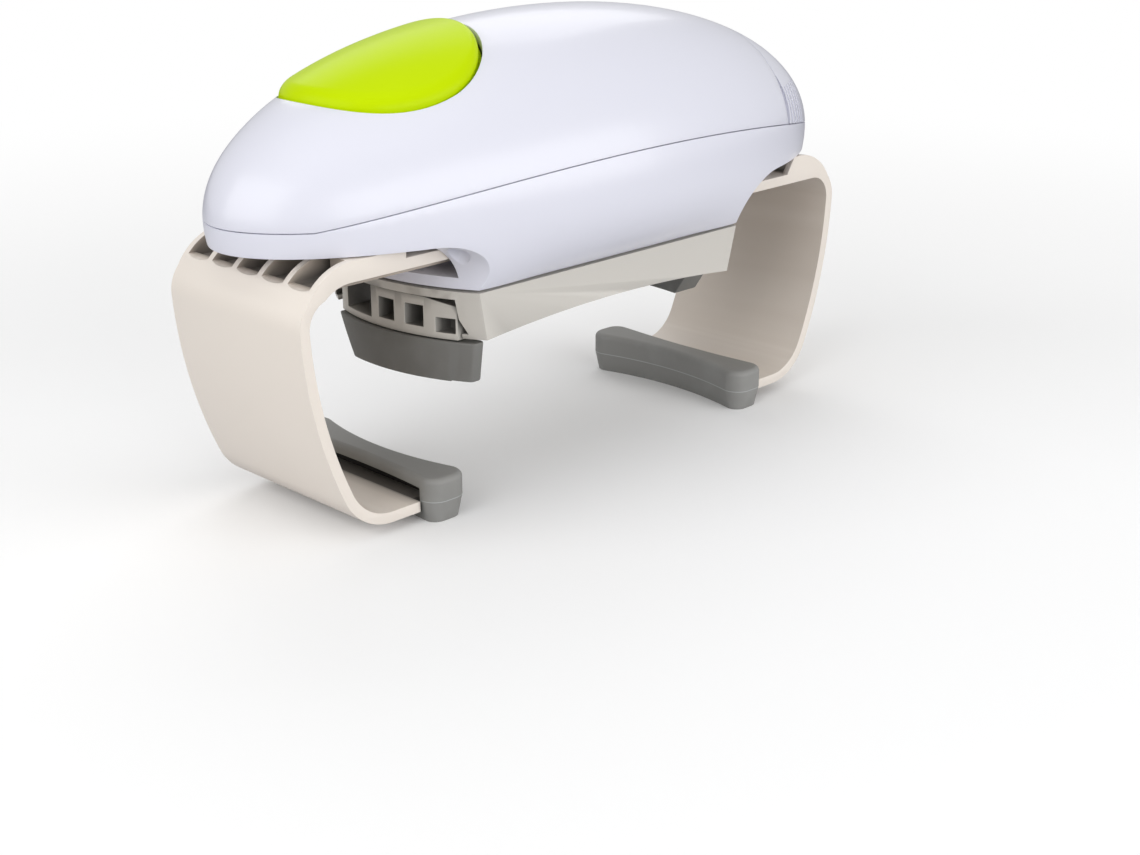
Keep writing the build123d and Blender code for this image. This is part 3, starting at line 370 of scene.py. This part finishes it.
def rubber(name, colour, dusty, seam_level=None):
    material, tree = blank(name)
    dust = noise(tree, DUST_SCALE, 4.0).ramp(*DUST_RANGE)
    height = tree.node("ShaderNodeTexVoronoi", None, {"Vector": place_on(tree), "Scale": PIT_SCALE})
    colour = blend(tree, dust, colour, dusty)
    if seam_level is not None:
        line = 1 - (place_on(tree, "Z") - seam_level).math("ABSOLUTE").ramp(*SEAM_HALF_WIDTH)
        colour = blend(tree, line, colour, SEAM_COLOUR)
        height = height + line * SEAM_HEIGHT
    # painted shade: the slot under an arm pad's lip goes near black
    colour = blend(tree, carried(tree, "shut_in", SLOT_SHADE_RANGE), colour, SLOT_SHADE_COLOUR)
    gloss = RUBBER_ROUGHNESS + (dust - 0.5) * RUBBER_SPREAD
    surface(tree, colour, gloss, height, PIT_DEPTH)
    return material


finish["grip_rubber"] = rubber("grip_rubber", (0.170, 0.168, 0.158), (0.205, 0.205, 0.195))
pad_rubber = rubber("pad_rubber", (0.250, 0.248, 0.236), (0.290, 0.290, 0.280), ARM_PAD_SEAM)
print("rubber ready")

# %% [markdown]
# ## Metal, circuit board and cells
# These show only where the body is opened, so each has one pattern: the lines of drawn wire, the net of
# copper tracks under green lacquer, and the copper band of a cell's jacket at the end with the nub.

# %% Metal, circuit board and cell jackets
DRAWN_LINES = 2200.0
TRACK_SCALE = 420.0
STREAK_SCALE = 400.0
COPPER_BAND = (15.8 * MM, 16.0 * MM)
BARE_CAP = (1.3 * MM, 1.5 * MM)


def drawn_metal(name, colour, shade, roughness):
    material, tree = blank(name)
    lines = noise(tree, DRAWN_LINES, 3.0, (1.0, 1.0, 0.06))
    tint = blend(tree, lines, colour, shade)
    surface(tree, tint, roughness + (lines - 0.5) * 0.16, lines, 0.003 * MM, Metallic=1.0)
    return material


def laminate(name):
    material, tree = blank(name)
    layout = {"Vector": place_on(tree), "Scale": TRACK_SCALE, "Mortar Size": 0.05, "Mortar Smooth": 0.3}
    tracks = tree.node("ShaderNodeTexBrick", {"offset": 0.5}, layout, output="Fac")
    colour = blend(tree, tracks, (0.012, 0.10, 0.03), (0.03, 0.19, 0.07))
    surface(tree, colour, 0.30 + tracks * 0.1, tracks, 0.020 * MM, Coat_Weight=0.3)
    return material


def cell_jacket(name, nub_end, direction):
    material, tree = blank(name)
    inward = (nub_end - place_on(tree, "X")) * direction
    streak = noise(tree, STREAK_SCALE, 2.0, (0.05, 1, 1))
    colour = blend(tree, streak, (0.020, 0.022, 0.028), (0.030, 0.032, 0.040))
    colour = blend(tree, 1 - inward.ramp(*COPPER_BAND), colour, (0.56, 0.27, 0.10))
    colour = blend(tree, 1 - inward.ramp(*BARE_CAP), colour, (0.70, 0.70, 0.72))
    gloss = 0.28 + (streak - 0.5) * 0.08
    surface(tree, colour, gloss, streak, 0.002 * MM, Metallic=0.6, Coat_Weight=0.4)
    return material


finish["steel"] = drawn_metal("steel", (0.62, 0.62, 0.64), (0.52, 0.52, 0.55), 0.28)
finish["brass_pinion"] = drawn_metal("brass_pinion", (0.72, 0.51, 0.19), (0.64, 0.43, 0.15), 0.25)
finish["board_green"] = laminate("board_green")
finish["cell_jacket"] = cell_jacket("left_cell_jacket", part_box("left_cell")[1].x, 1.0)
own_finish = {
    "right_cell": cell_jacket("right_cell_jacket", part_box("right_cell")[0].x, -1.0),
    "front_arm_pad": pad_rubber,
    "rear_arm_pad": pad_rubber,
}
print("finishes:", len(finish) + len(own_finish))


# %% Give every CAD node its finish
def finish_of(node):
    return own_finish.get(node) or finish[slot_of[node]]


for node, thing in frame["nodes"].items():
    thing.data.materials.clear()
    thing.data.materials.append(finish_of(node))
print("dressed nodes:", len(frame["nodes"]))

# %% [markdown]
# ## Softened mouldings
# A CAD solid has knife edges, and a moulding has none. Each visible rigid piece is copied, its loose
# triangles are welded and its flat faces joined, and a narrow bevel is run along every sharp edge. On
# the body's skin only triangles in one plane are joined, because its curve is slight.

# %% Copy a node, soften its edges and put it in place
WELD = 0.002 * MM
FLATNESS = 0.6
SKIN_FLATNESS = 0.02
SHARP_ANGLE = 35.0
EDGE_STEPS = 3


def stand_in(name, mesh, node):
    """Put a finished mesh in the scene in place of a CAD node."""
    piece = linked(name, mesh)
    mesh.materials.clear()
    mesh.materials.append(finish_of(node))
    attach(piece, body_of[node])
    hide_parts(node)
    return piece


def as_object(name, shape):
    mesh = bpy.data.meshes.new(name)
    shape.to_mesh(mesh)
    shape.free()
    return linked(name, mesh)


def result_of(holder):
    """The plain mesh that an object's modifiers give. The object itself is removed."""
    evaluated = holder.evaluated_get(bpy.context.evaluated_depsgraph_get())
    mesh = bpy.data.meshes.new_from_object(evaluated)
    bpy.data.objects.remove(holder)
    return mesh


def welded(mesh, flatness=FLATNESS):
    """A mesh as a shape to edit, with the triangles of each flat face joined."""
    shape = bmesh.new()
    shape.from_mesh(mesh)
    bmesh.ops.remove_doubles(shape, verts=shape.verts, dist=WELD)
    bmesh.ops.dissolve_limit(shape, angle_limit=math.radians(flatness), verts=shape.verts, edges=shape.edges)
    return shape


def bevelled(shape, width, angle=SHARP_ANGLE):
    """Run a round bevel along the sharp edges and shade the rest smooth."""
    holder = as_object("moulding", shape)
    edge = holder.modifiers.new("edge", "BEVEL")
    edge.width = width
    edge.segments = EDGE_STEPS
    edge.limit_method = "ANGLE"
    edge.angle_limit = math.radians(angle)
    mesh = result_of(holder)
    mesh.polygons.foreach_set("use_smooth", [True] * len(mesh.polygons))
    mesh.set_sharp_from_angle(angle=math.radians(angle))
    return mesh


print("mesh helpers ready")

# %% [markdown]
# ## How shut in a point is
# Pockets and inner faces are given painted shade: their colour is darkened beyond what the lamps do. From each
# point of a mesh rays go out evenly over the open side, and the share of them that meets the piece again,
# or a neighbour, within some reach is kept on the mesh for the finish to darken by.

# %% Keep the share of rays that meet something
RAY_COUNT = 160
GOLDEN_TURN = math.pi * (3 - math.sqrt(5))
RAY_LIFT = 0.05 * MM
LEAST_RISE = 0.1


def even_rays():
    """Directions spread evenly over a sphere on a spiral."""
    rays = []
    for number in range(RAY_COUNT):
        height = 1 - 2 * (number + 0.5) / RAY_COUNT
        ring = math.sqrt(1 - height * height)
        angle = GOLDEN_TURN * number
        rays.append(Vector((ring * math.cos(angle), ring * math.sin(angle), height)))
    return rays


def walls_around(meshes):
    """One search tree for the faces of several meshes."""
    corners = []
    faces = []
    for mesh in meshes:
        first = len(corners)
        corners.extend(vertex.co.copy() for vertex in mesh.vertices)
        faces.extend(tuple(first + index for index in polygon.vertices) for polygon in mesh.polygons)
    return BVHTree.FromPolygons(corners, faces)


def store_enclosure(mesh, label, reach, neighbours=()):
    walls = walls_around([mesh] + [frame["nodes"][node].data for node in neighbours])
    rays = even_rays()
    shares = []
    for vertex in mesh.vertices:
        start = vertex.co + vertex.normal * RAY_LIFT
        open_rays = [ray for ray in rays if ray.dot(vertex.normal) > LEAST_RISE]
        hits = sum(1 for ray in open_rays if walls.ray_cast(start, ray, reach)[0] is not None)
        shares.append(hits / max(1, len(open_rays)))
    mesh.attributes.new(label, "FLOAT", "POINT").data.foreach_set("value", shares)


print("rays:", len(even_rays()))

# %% [markdown]
# ## Details of single mouldings
# Before the bevel some pieces get work of their own. An arm's foot is scored beside its pad, so that the
# shade under the pad's lip ends there. The corners of the turntable's housing have a larger radius than
# its other edges, and the top of a jaw falls off towards its long end and leaves a dark wedge.

# %% Work on arms, housing and jaws
FOOT_SCORES = (63.0 * MM, 66.0 * MM, 67.0 * MM)
TURNTABLE_AXIS = -1.2 * MM
HOUSING_CORNER = 1.8 * MM
CORNER_STEPS = 4
HOUSING_SIDE = 29.0 * MM
HOUSING_END = 40.0 * MM
UPRIGHT = 0.9
JAW_SLOPE = 0.19
JAW_SLOPE_START = 15.0 * MM
JAW_FACE = 40.0 * MM
JAW_TOP_LAYER = 0.1 * MM


def score_foot(shape):
    for distance in FOOT_SCORES:
        for side in (-1.0, 1.0):
            everything = [*shape.verts, *shape.edges, *shape.faces]
            cut = (TURNTABLE_AXIS + side * distance, 0, 0)
            bmesh.ops.bisect_plane(shape, geom=everything, plane_co=cut, plane_no=(1, 0, 0))


def is_housing_corner(edge):
    """An upright edge where a flat side of the housing meets its round end."""
    middle = (edge.verts[0].co + edge.verts[1].co) / 2
    rise = abs(edge.verts[0].co.z - edge.verts[1].co.z)
    outside = abs(middle.y) > HOUSING_SIDE and abs(middle.x) > HOUSING_END
    return outside and rise > UPRIGHT * edge.calc_length()


def round_housing(shape):
    corners = [edge for edge in shape.edges if is_housing_corner(edge)]
    bmesh.ops.bevel(shape, geom=corners, offset=HOUSING_CORNER, offset_type="OFFSET", segments=CORNER_STEPS,
                    profile=0.5, affect="EDGES", clamp_overlap=True)


def slope_jaw_top(shape):
    top = max(vert.co.z for vert in shape.verts)
    long_end = max((vert.co.y for vert in shape.verts), key=abs)
    for vert in shape.verts:
        past = vert.co.y * math.copysign(1.0, long_end) - JAW_SLOPE_START
        if past > 0 and vert.co.z > top - JAW_TOP_LAYER and abs(vert.co.x) > JAW_FACE:
            vert.co.z -= JAW_SLOPE * past


own_work = {
    "front_arm": score_foot, "rear_arm": score_foot, "turntable_housing": round_housing,
    "front_jaw": slope_jaw_top, "rear_jaw": slope_jaw_top,
}
print("pieces with work of their own:", len(own_work))

# %% Soften the mouldings
ARM_REACH = 60.0 * MM
edge_width = {
    "top_shell": 0.15, "bottom_shell": 0.25, "battery_door": 0.12, "front_arm": 0.7, "rear_arm": 0.7,
    "turntable_housing": 0.5, "turntable_cover": 0.3, "front_jaw": 0.35, "rear_jaw": 0.35,
}
# how far the rays look for the painted shade in pockets
pocket_reach = {
    "front_arm": 9.0, "rear_arm": 9.0, "turntable_housing": 25.0, "front_jaw": 22.0, "rear_jaw": 22.0,
}
neighbours = {
    "front_arm": ["front_arm_pad"], "rear_arm": ["rear_arm_pad"],
    "front_jaw": ["turntable_housing"], "rear_jaw": ["turntable_housing"],
}
for node, width in edge_width.items():
    flatness = SKIN_FLATNESS if slot_of[node] == "white_shell" else FLATNESS
    shape = welded(frame["nodes"][node].data, flatness)
    if node in own_work:
        own_work[node](shape)
    mesh = bevelled(shape, width * MM)
    # painted shade in pockets, and under an arm pad on the arm's tongue
    if node in pocket_reach:
        store_enclosure(mesh, "shut_in", pocket_reach[node] * MM, neighbours.get(node, []))
    # painted shade on the inner faces of the arms
    if slot_of[node] == "arm_grey":
        store_enclosure(mesh, "inner_shade", ARM_REACH)
    piece = stand_in(node + "_moulding", mesh, node)
    print(piece.name, len(piece.data.polygons))

# %% [markdown]
# ## Arm pads
# The rubber at each foot is pushed onto a tongue of the arm. Its upper lip hangs over the arm's flange,
# and under the lip a dark slot runs along its back. A box with that slot's size is taken out of a copy
# of the pad by a Boolean modifier before the edges are rounded.

# %% Arm pads with a slot under the lip
SLOT_HALF_WIDTH = 25.0 * MM
SLOT_DEPTH = 5.0 * MM
SLOT_LOW, SLOT_HIGH = 4.4 * MM, 9.0 * MM
SLOT_REACH = 6.0 * MM
ARM_PAD_EDGE = 0.6 * MM


def slot_cutter(node):
    low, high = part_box(node)
    back = max(low.x, high.x, key=abs)
    shape = bmesh.new()
    bmesh.ops.create_cube(shape, size=1.0)
    for vert in shape.verts:
        x = back + math.copysign(SLOT_DEPTH, vert.co.x)
        vert.co = (x, math.copysign(SLOT_HALF_WIDTH, vert.co.y), SLOT_LOW if vert.co.z < 0 else SLOT_HIGH)
    return as_object("slot_cutter", shape)


def make_arm_pad(node):
    pad = as_object("pad", welded(frame["nodes"][node].data))
    cut = pad.modifiers.new("slot", "BOOLEAN")
    cut.operation = "DIFFERENCE"
    cutter = slot_cutter(node)
    cut.object = cutter
    mesh = bevelled(welded(result_of(pad)), ARM_PAD_EDGE)
    bpy.data.objects.remove(cutter)
    # painted shade for the slot under the lip
    store_enclosure(mesh, "shut_in", SLOT_REACH)
    return stand_in(node + "_rubber", mesh, node)


for node in ("front_arm_pad", "rear_arm_pad"):
    print(node, len(make_arm_pad(node).data.polygons))

# %% [markdown]
# ## Jaw pads
# Each jaw carries a block of rubber on its underside. It is a little larger than the jaw, and its top
# edge stands back from it, so a dark line runs between the two. The pad is a copy of its solid
# whose top face is inset, with the outer rim let down by less than half a millimetre. Its long end
# leans in towards the bottom.

# %% Jaw pads with a lowered rim
PAD_RIM = 2.0 * MM
PAD_RIM_DROP = 0.45 * MM
PAD_END_LEAN = 1.4 * MM
PAD_END_SHARE = 0.8
JAW_PAD_EDGE = 0.8 * MM
JAW_PAD_ANGLE = 40.0
LEVEL = 0.99


def is_top_face(face, top):
    return face.normal.z > LEVEL and face.calc_center_median().z > top - MM


def make_jaw_pad(node):
    shape = welded(frame["nodes"][node].data)
    levels = [vert.co.z for vert in shape.verts]
    low, top = min(levels), max(levels)
    top_faces = [face for face in shape.faces if is_top_face(face, top)]
    rim = {vert for face in top_faces for vert in face.verts}
    bmesh.ops.inset_region(shape, faces=top_faces, thickness=PAD_RIM, use_even_offset=True)
    for vert in rim:
        vert.co.z -= PAD_RIM_DROP
    long_end = max((vert.co.y for vert in shape.verts), key=abs)
    for vert in shape.verts:
        if vert.co.y / long_end > PAD_END_SHARE:
            vert.co.y -= math.copysign(PAD_END_LEAN * (top - vert.co.z) / (top - low), long_end)
    return stand_in(node + "_rubber", bevelled(shape, JAW_PAD_EDGE, JAW_PAD_ANGLE), node)


for node in ("front_jaw_pad", "rear_jaw_pad"):
    print(node, len(make_jaw_pad(node).data.polygons))

# %% [markdown]
# ## Geometry Nodes
# Screws and springs repeat, and the button is a surface that a short rule describes. All three are
# node trees with their sizes as named inputs. A helper makes the tree, sets its inputs by their
# identifiers, lets Blender evaluate it and keeps the result as a plain mesh.


# %% Make a tree and turn its result into a mesh
def new_group(name, labels):
    group = bpy.data.node_groups.new(name, "GeometryNodeTree")
    group.interface.new_socket("Geometry", in_out="OUTPUT", socket_type="NodeSocketGeometry")
    for label in labels:
        group.interface.new_socket(label, in_out="INPUT", socket_type="NodeSocketFloat")
    tree = Tree(group)
    source = group.nodes.new("NodeGroupInput")
    return group, tree, {label: Field(tree, source.outputs[label]) for label in labels}


def close_group(tree, geometry, material):
    real = tree.node("GeometryNodeRealizeInstances", None, {"Geometry": geometry})
    dressed = tree.node("GeometryNodeSetMaterial", None, {"Geometry": real, "Material": material})
    tree.node("NodeGroupOutput", None, {0: dressed})


def grown(group, sizes):
    """Evaluate a tree with the given sizes and return a plain mesh."""
    holder = linked("holder", bpy.data.meshes.new("empty"))
    maker = holder.modifiers.new("maker", "NODES")
    maker.node_group = group
    for socket in group.interface.items_tree:
        if socket.in_out == "INPUT":
            maker[socket.identifier] = sizes[socket.name]
    return result_of(holder)


def vector(tree, x=0.0, y=0.0, z=0.0):
    return tree.node("ShaderNodeCombineXYZ", None, {0: x, 1: y, 2: z})


def moved(tree, geometry, shift, turn=(0, 0, 0)):
    return tree.node("GeometryNodeTransform", None, {
        "Geometry": geometry, "Translation": shift, "Rotation": turn})


def swept(tree, path, sides, radius):
    """A closed tube with a few sides along a path."""
    profile = tree.node("GeometryNodeCurvePrimitiveCircle", None, {"Resolution": sides, "Radius": radius})
    return tree.node("GeometryNodeCurveToMesh", None, {
        "Curve": path, "Profile Curve": profile, "Fill Caps": True})


print("tree helpers ready")

# %% [markdown]
# ## Screws
# Four screws close the body, four hold the gearbox and four the turntable's cover. One tree draws a
# self-tapping screw: a pan head with a cross recess, a shank, and a thread that is a spiral swept with
# a small triangle. It is placed on the four corners of a grid.

# %% One tree for three sets of screws
SCREW_LABELS = ("Head radius", "Head height", "Shank radius", "Length", "Spread X", "Spread Y",
                "Middle X", "Level", "Tilt")
THREAD_PITCH = 1.2 * MM
THREAD_DEPTH = 0.22 * MM
RECESS_LENGTH = 1.3
RECESS_WIDTH = 0.22
HEAD_SIDES = 32
SHANK_SIDES = 24
THREAD_STEPS = 16
THREAD_SIDES = 3


def screw_head(tree, radius, height):
    """A flat cylinder with a cross cut into its outer half."""
    head = tree.node("GeometryNodeMeshCylinder", None, {
        "Vertices": HEAD_SIDES, "Radius": radius, "Depth": height})
    head = moved(tree, head, vector(tree, z=height * -0.5))
    recess = []
    for turn in (0.0, math.pi / 2):
        bar = tree.node("GeometryNodeMeshCube", None, {
            "Size": vector(tree, radius * RECESS_LENGTH, radius * RECESS_WIDTH, height)})
        recess.append(moved(tree, bar, vector(tree, z=height * -1.0), (0, 0, turn)))
    return tree.node("GeometryNodeMeshBoolean", {"operation": "DIFFERENCE"}, {"Mesh 1": head, "Mesh 2": recess})


def screw_group():
    group, tree, size = new_group("four_screws", SCREW_LABELS)
    head = screw_head(tree, size["Head radius"], size["Head height"])
    core = size["Shank radius"] - THREAD_DEPTH
    shank = tree.node("GeometryNodeMeshCylinder", None, {
        "Vertices": SHANK_SIDES, "Radius": core, "Depth": size["Length"]})
    shank = moved(tree, shank, vector(tree, z=size["Length"] * 0.5))
    path = tree.node("GeometryNodeCurveSpiral", None, {
        "Resolution": THREAD_STEPS, "Rotations": size["Length"] / THREAD_PITCH - 1.0,
        "Start Radius": core, "End Radius": core, "Height": size["Length"] - THREAD_PITCH})
    thread = moved(tree, swept(tree, path, THREAD_SIDES, THREAD_DEPTH), vector(tree, z=THREAD_PITCH / 2))
    screw = tree.node("GeometryNodeJoinGeometry", None, {"Geometry": [head, shank, thread]})
    screw = moved(tree, screw, (0, 0, 0), vector(tree, size["Tilt"]))
    corners = tree.node("GeometryNodeMeshGrid", None, {
        "Size X": size["Spread X"] * 2.0, "Size Y": size["Spread Y"] * 2.0, "Vertices X": 2, "Vertices Y": 2})
    corners = moved(tree, corners, vector(tree, x=size["Middle X"], z=size["Level"]))
    four = tree.node("GeometryNodeInstanceOnPoints", None, {"Points": corners, "Instance": screw})
    close_group(tree, four, finish["steel"])
    return group


def place_screws(node, group, head_radius, head_height, shank_radius, heads_up):
    low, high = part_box(node)
    sizes = {
        "Head radius": head_radius, "Head height": head_height, "Shank radius": shank_radius,
        "Length": high.z - low.z - head_height,
        "Spread X": (high.x - low.x) / 2 - head_radius,
        "Spread Y": (high.y - low.y) / 2 - head_radius,
        "Middle X": (high.x + low.x) / 2,
        "Level": high.z - head_height if heads_up else low.z + head_height,
        "Tilt": math.pi if heads_up else 0.0,
    }
    return stand_in(node + "_set", grown(group, sizes), node)


screws = screw_group()
for node, head, height, shank, heads_up in (
    ("shell_screws", 2.7, 1.8, 1.4, False),
    ("gear_screws", 2.4, 1.8, 1.2, True),
    ("turntable_screws", 2.2, 1.0, 1.2, False),
):
    piece = place_screws(node, screws, head * MM, height * MM, shank * MM, heads_up)
    print(piece.name, len(piece.data.polygons))

# %% [markdown]
# ## Contact springs
# The cells are pressed home by a tapering coil at each end of the bay. Blender's spiral primitive
# gives the path, and a circle swept along it gives the wire. The second coil is the first one turned
# by half a turn about the middle of the bay.

# %% Two tapering coils
COIL_LABELS = ("Wide radius", "Narrow radius", "Length", "Wire", "Turns", "Seat", "Offset Y",
               "Middle X", "Axis Z")
CONTACT_WIRE = 0.5 * MM
COIL_ROOM = 3.44 * MM
COIL_TIP_RADIUS = 1.9 * MM
COIL_TURNS = 3.0
COIL_STEPS = 24
WIRE_SIDES = 10


def coil_group():
    group, tree, size = new_group("contact_coils", COIL_LABELS)
    path = tree.node("GeometryNodeCurveSpiral", None, {
        "Resolution": COIL_STEPS, "Rotations": size["Turns"], "Start Radius": size["Wide radius"],
        "End Radius": size["Narrow radius"], "Height": size["Length"]})
    coil = swept(tree, path, WIRE_SIDES, size["Wire"] * 0.5)
    seat = vector(tree, size["Seat"] - size["Middle X"], size["Offset Y"])
    first = moved(tree, coil, seat, (0, math.pi / 2, 0))
    second = moved(tree, first, (0, 0, 0), (0, 0, math.pi))
    both = tree.node("GeometryNodeJoinGeometry", None, {"Geometry": [first, second]})
    both = moved(tree, both, vector(tree, x=size["Middle X"], z=size["Axis Z"]))
    both = tree.node("GeometryNodeSetShadeSmooth", None, {"Geometry": both})
    close_group(tree, both, finish["steel"])
    return group


spring_low, spring_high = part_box("contact_springs")
coil_width = spring_high.z - spring_low.z
coils = stand_in("contact_coils", grown(coil_group(), {
    "Wide radius": (coil_width - CONTACT_WIRE) / 2,
    "Narrow radius": COIL_TIP_RADIUS,
    "Length": COIL_ROOM - CONTACT_WIRE,
    "Wire": CONTACT_WIRE,
    "Turns": COIL_TURNS,
    "Seat": spring_low.x + CONTACT_WIRE / 2,
    "Offset Y": spring_low.y + coil_width / 2,
    "Middle X": (spring_low.x + spring_high.x) / 2,
    "Axis Z": (spring_low.z + spring_high.z) / 2,
}), "contact_springs")
print(coils.name, len(coils.data.polygons))

# %% [markdown]
# ## The button
# Seen from above the button is an egg, half of a long ellipse joined to half of a short one. Its top
# follows the curve of the body a little higher up, and turns over a round rim into a straight wall.
# Under the body's skin a flange keeps it from falling out. One grid of points can be bent into all
# of that: one way runs round the egg, the other from the middle of the top, over the rim, down the
# wall, round the flange and back under to the middle.

# %% A grid bent into the button
BUTTON_LABELS = ("Front", "Rear", "Half width", "Middle X", "Body length", "Body width", "Waist",
                 "Front crown", "Rear crown", "Rim", "Wall", "Flange", "Flange height")
AROUND = 161
ACROSS = 61
TOP_END, RIM_END, WALL_END, LEDGE_END, LIP_END = 0.52, 0.72, 0.80, 0.84, 0.88
MERGE_DISTANCE = 0.01 * MM


def section(across, size):
    """How far in from the egg's outline and how far below the dome a point of the section lies."""
    top = across.ramp(0.0, TOP_END)
    rim = across.ramp(TOP_END, RIM_END) * (math.pi / 2)
    wall = across.ramp(RIM_END, WALL_END)
    ledge = across.ramp(WALL_END, LEDGE_END)
    lip = across.ramp(LEDGE_END, LIP_END)
    under = across.ramp(LIP_END, 1.0)
    inset = (size["Half width"] - size["Rim"]) * (1 - top) + size["Rim"] * (1 - rim.math("SINE"))
    inset = inset - size["Flange"] * ledge
    inset = inset + (size["Half width"] + size["Flange"]) * under
    drop = size["Rim"] * (1 - rim.math("COSINE")) + size["Wall"] * wall + size["Flange height"] * lip
    return inset, drop


def button_group():
    group, tree, size = new_group("egg_button", BUTTON_LABELS)
    grid = tree.node("GeometryNodeMeshGrid", None, {
        "Size X": 1.0, "Size Y": 1.0, "Vertices X": ACROSS, "Vertices Y": AROUND})
    place = tree.node("GeometryNodeInputPosition")
    across = tree.node("ShaderNodeSeparateXYZ", None, {0: place}, output="X") + 0.5
    angle = (tree.node("ShaderNodeSeparateXYZ", None, {0: place}, output="Y") + 0.5) * (2 * math.pi)
    inset, drop = section(across, size)
    scale = 1 - inset / size["Half width"]
    cosine = angle.math("COSINE")
    backwards = cosine.math("GREATER_THAN", 0.0)
    reach = size["Front"] + (size["Rear"] - size["Front"]) * backwards
    x = size["Middle X"] + cosine * reach * scale
    y = angle.math("SINE") * size["Half width"] * scale
    share = (x - size["Middle X"] + size["Front"]) / (size["Front"] + size["Rear"])
    crown = size["Front crown"] + (size["Rear crown"] - size["Front crown"]) * share
    long_way = x / (size["Body length"] * 0.5 + crown)
    wide_way = y / (size["Body width"] * 0.5 + crown)
    dome = (1 - long_way * long_way - wide_way * wide_way).math("SQRT")
    z = size["Waist"] + (size["Body width"] * 0.5 + crown) * dome - drop
    bent = tree.node("GeometryNodeSetPosition", None, {"Geometry": grid, "Position": vector(tree, x, y, z)})
    closed = tree.node("GeometryNodeMergeByDistance", None, {"Geometry": bent, "Distance": MERGE_DISTANCE})
    smooth = tree.node("GeometryNodeSetShadeSmooth", None, {"Geometry": closed})
    close_group(tree, smooth, finish["lime_button"])
    return group


print("button tree ready")

# %% Grow the button from the sizes of its solid
FLANGE = 1.0 * MM
REAR_GAP = 0.7 * MM
SIDE_GAP = 0.3 * MM
WIDEST_X = -51.7 * MM
button_low, button_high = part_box("push_button")
body_width = cad_box[1][1] - cad_box[0][1]
button_mesh = grown(button_group(), {
    "Front": WIDEST_X - button_low.x - FLANGE,
    "Rear": button_high.x - FLANGE - WIDEST_X - REAR_GAP,
    "Half width": button_high.y - FLANGE - SIDE_GAP,
    "Middle X": WIDEST_X,
    "Body length": cad_box[1][0] - cad_box[0][0],
    "Body width": body_width,
    "Waist": cad_box[1][2] - body_width / 2,
    "Front crown": 2.2 * MM, "Rear crown": 1.6 * MM,
    "Rim": 2.4 * MM, "Wall": 2.0 * MM, "Flange": FLANGE, "Flange height": 1.2 * MM,
})
shape = bmesh.new()
shape.from_mesh(button_mesh)
bmesh.ops.recalc_face_normals(shape, faces=shape.faces)
shape.to_mesh(button_mesh)
shape.free()
button = stand_in("egg_button", button_mesh, "push_button")
print(button.name, len(button.data.polygons))
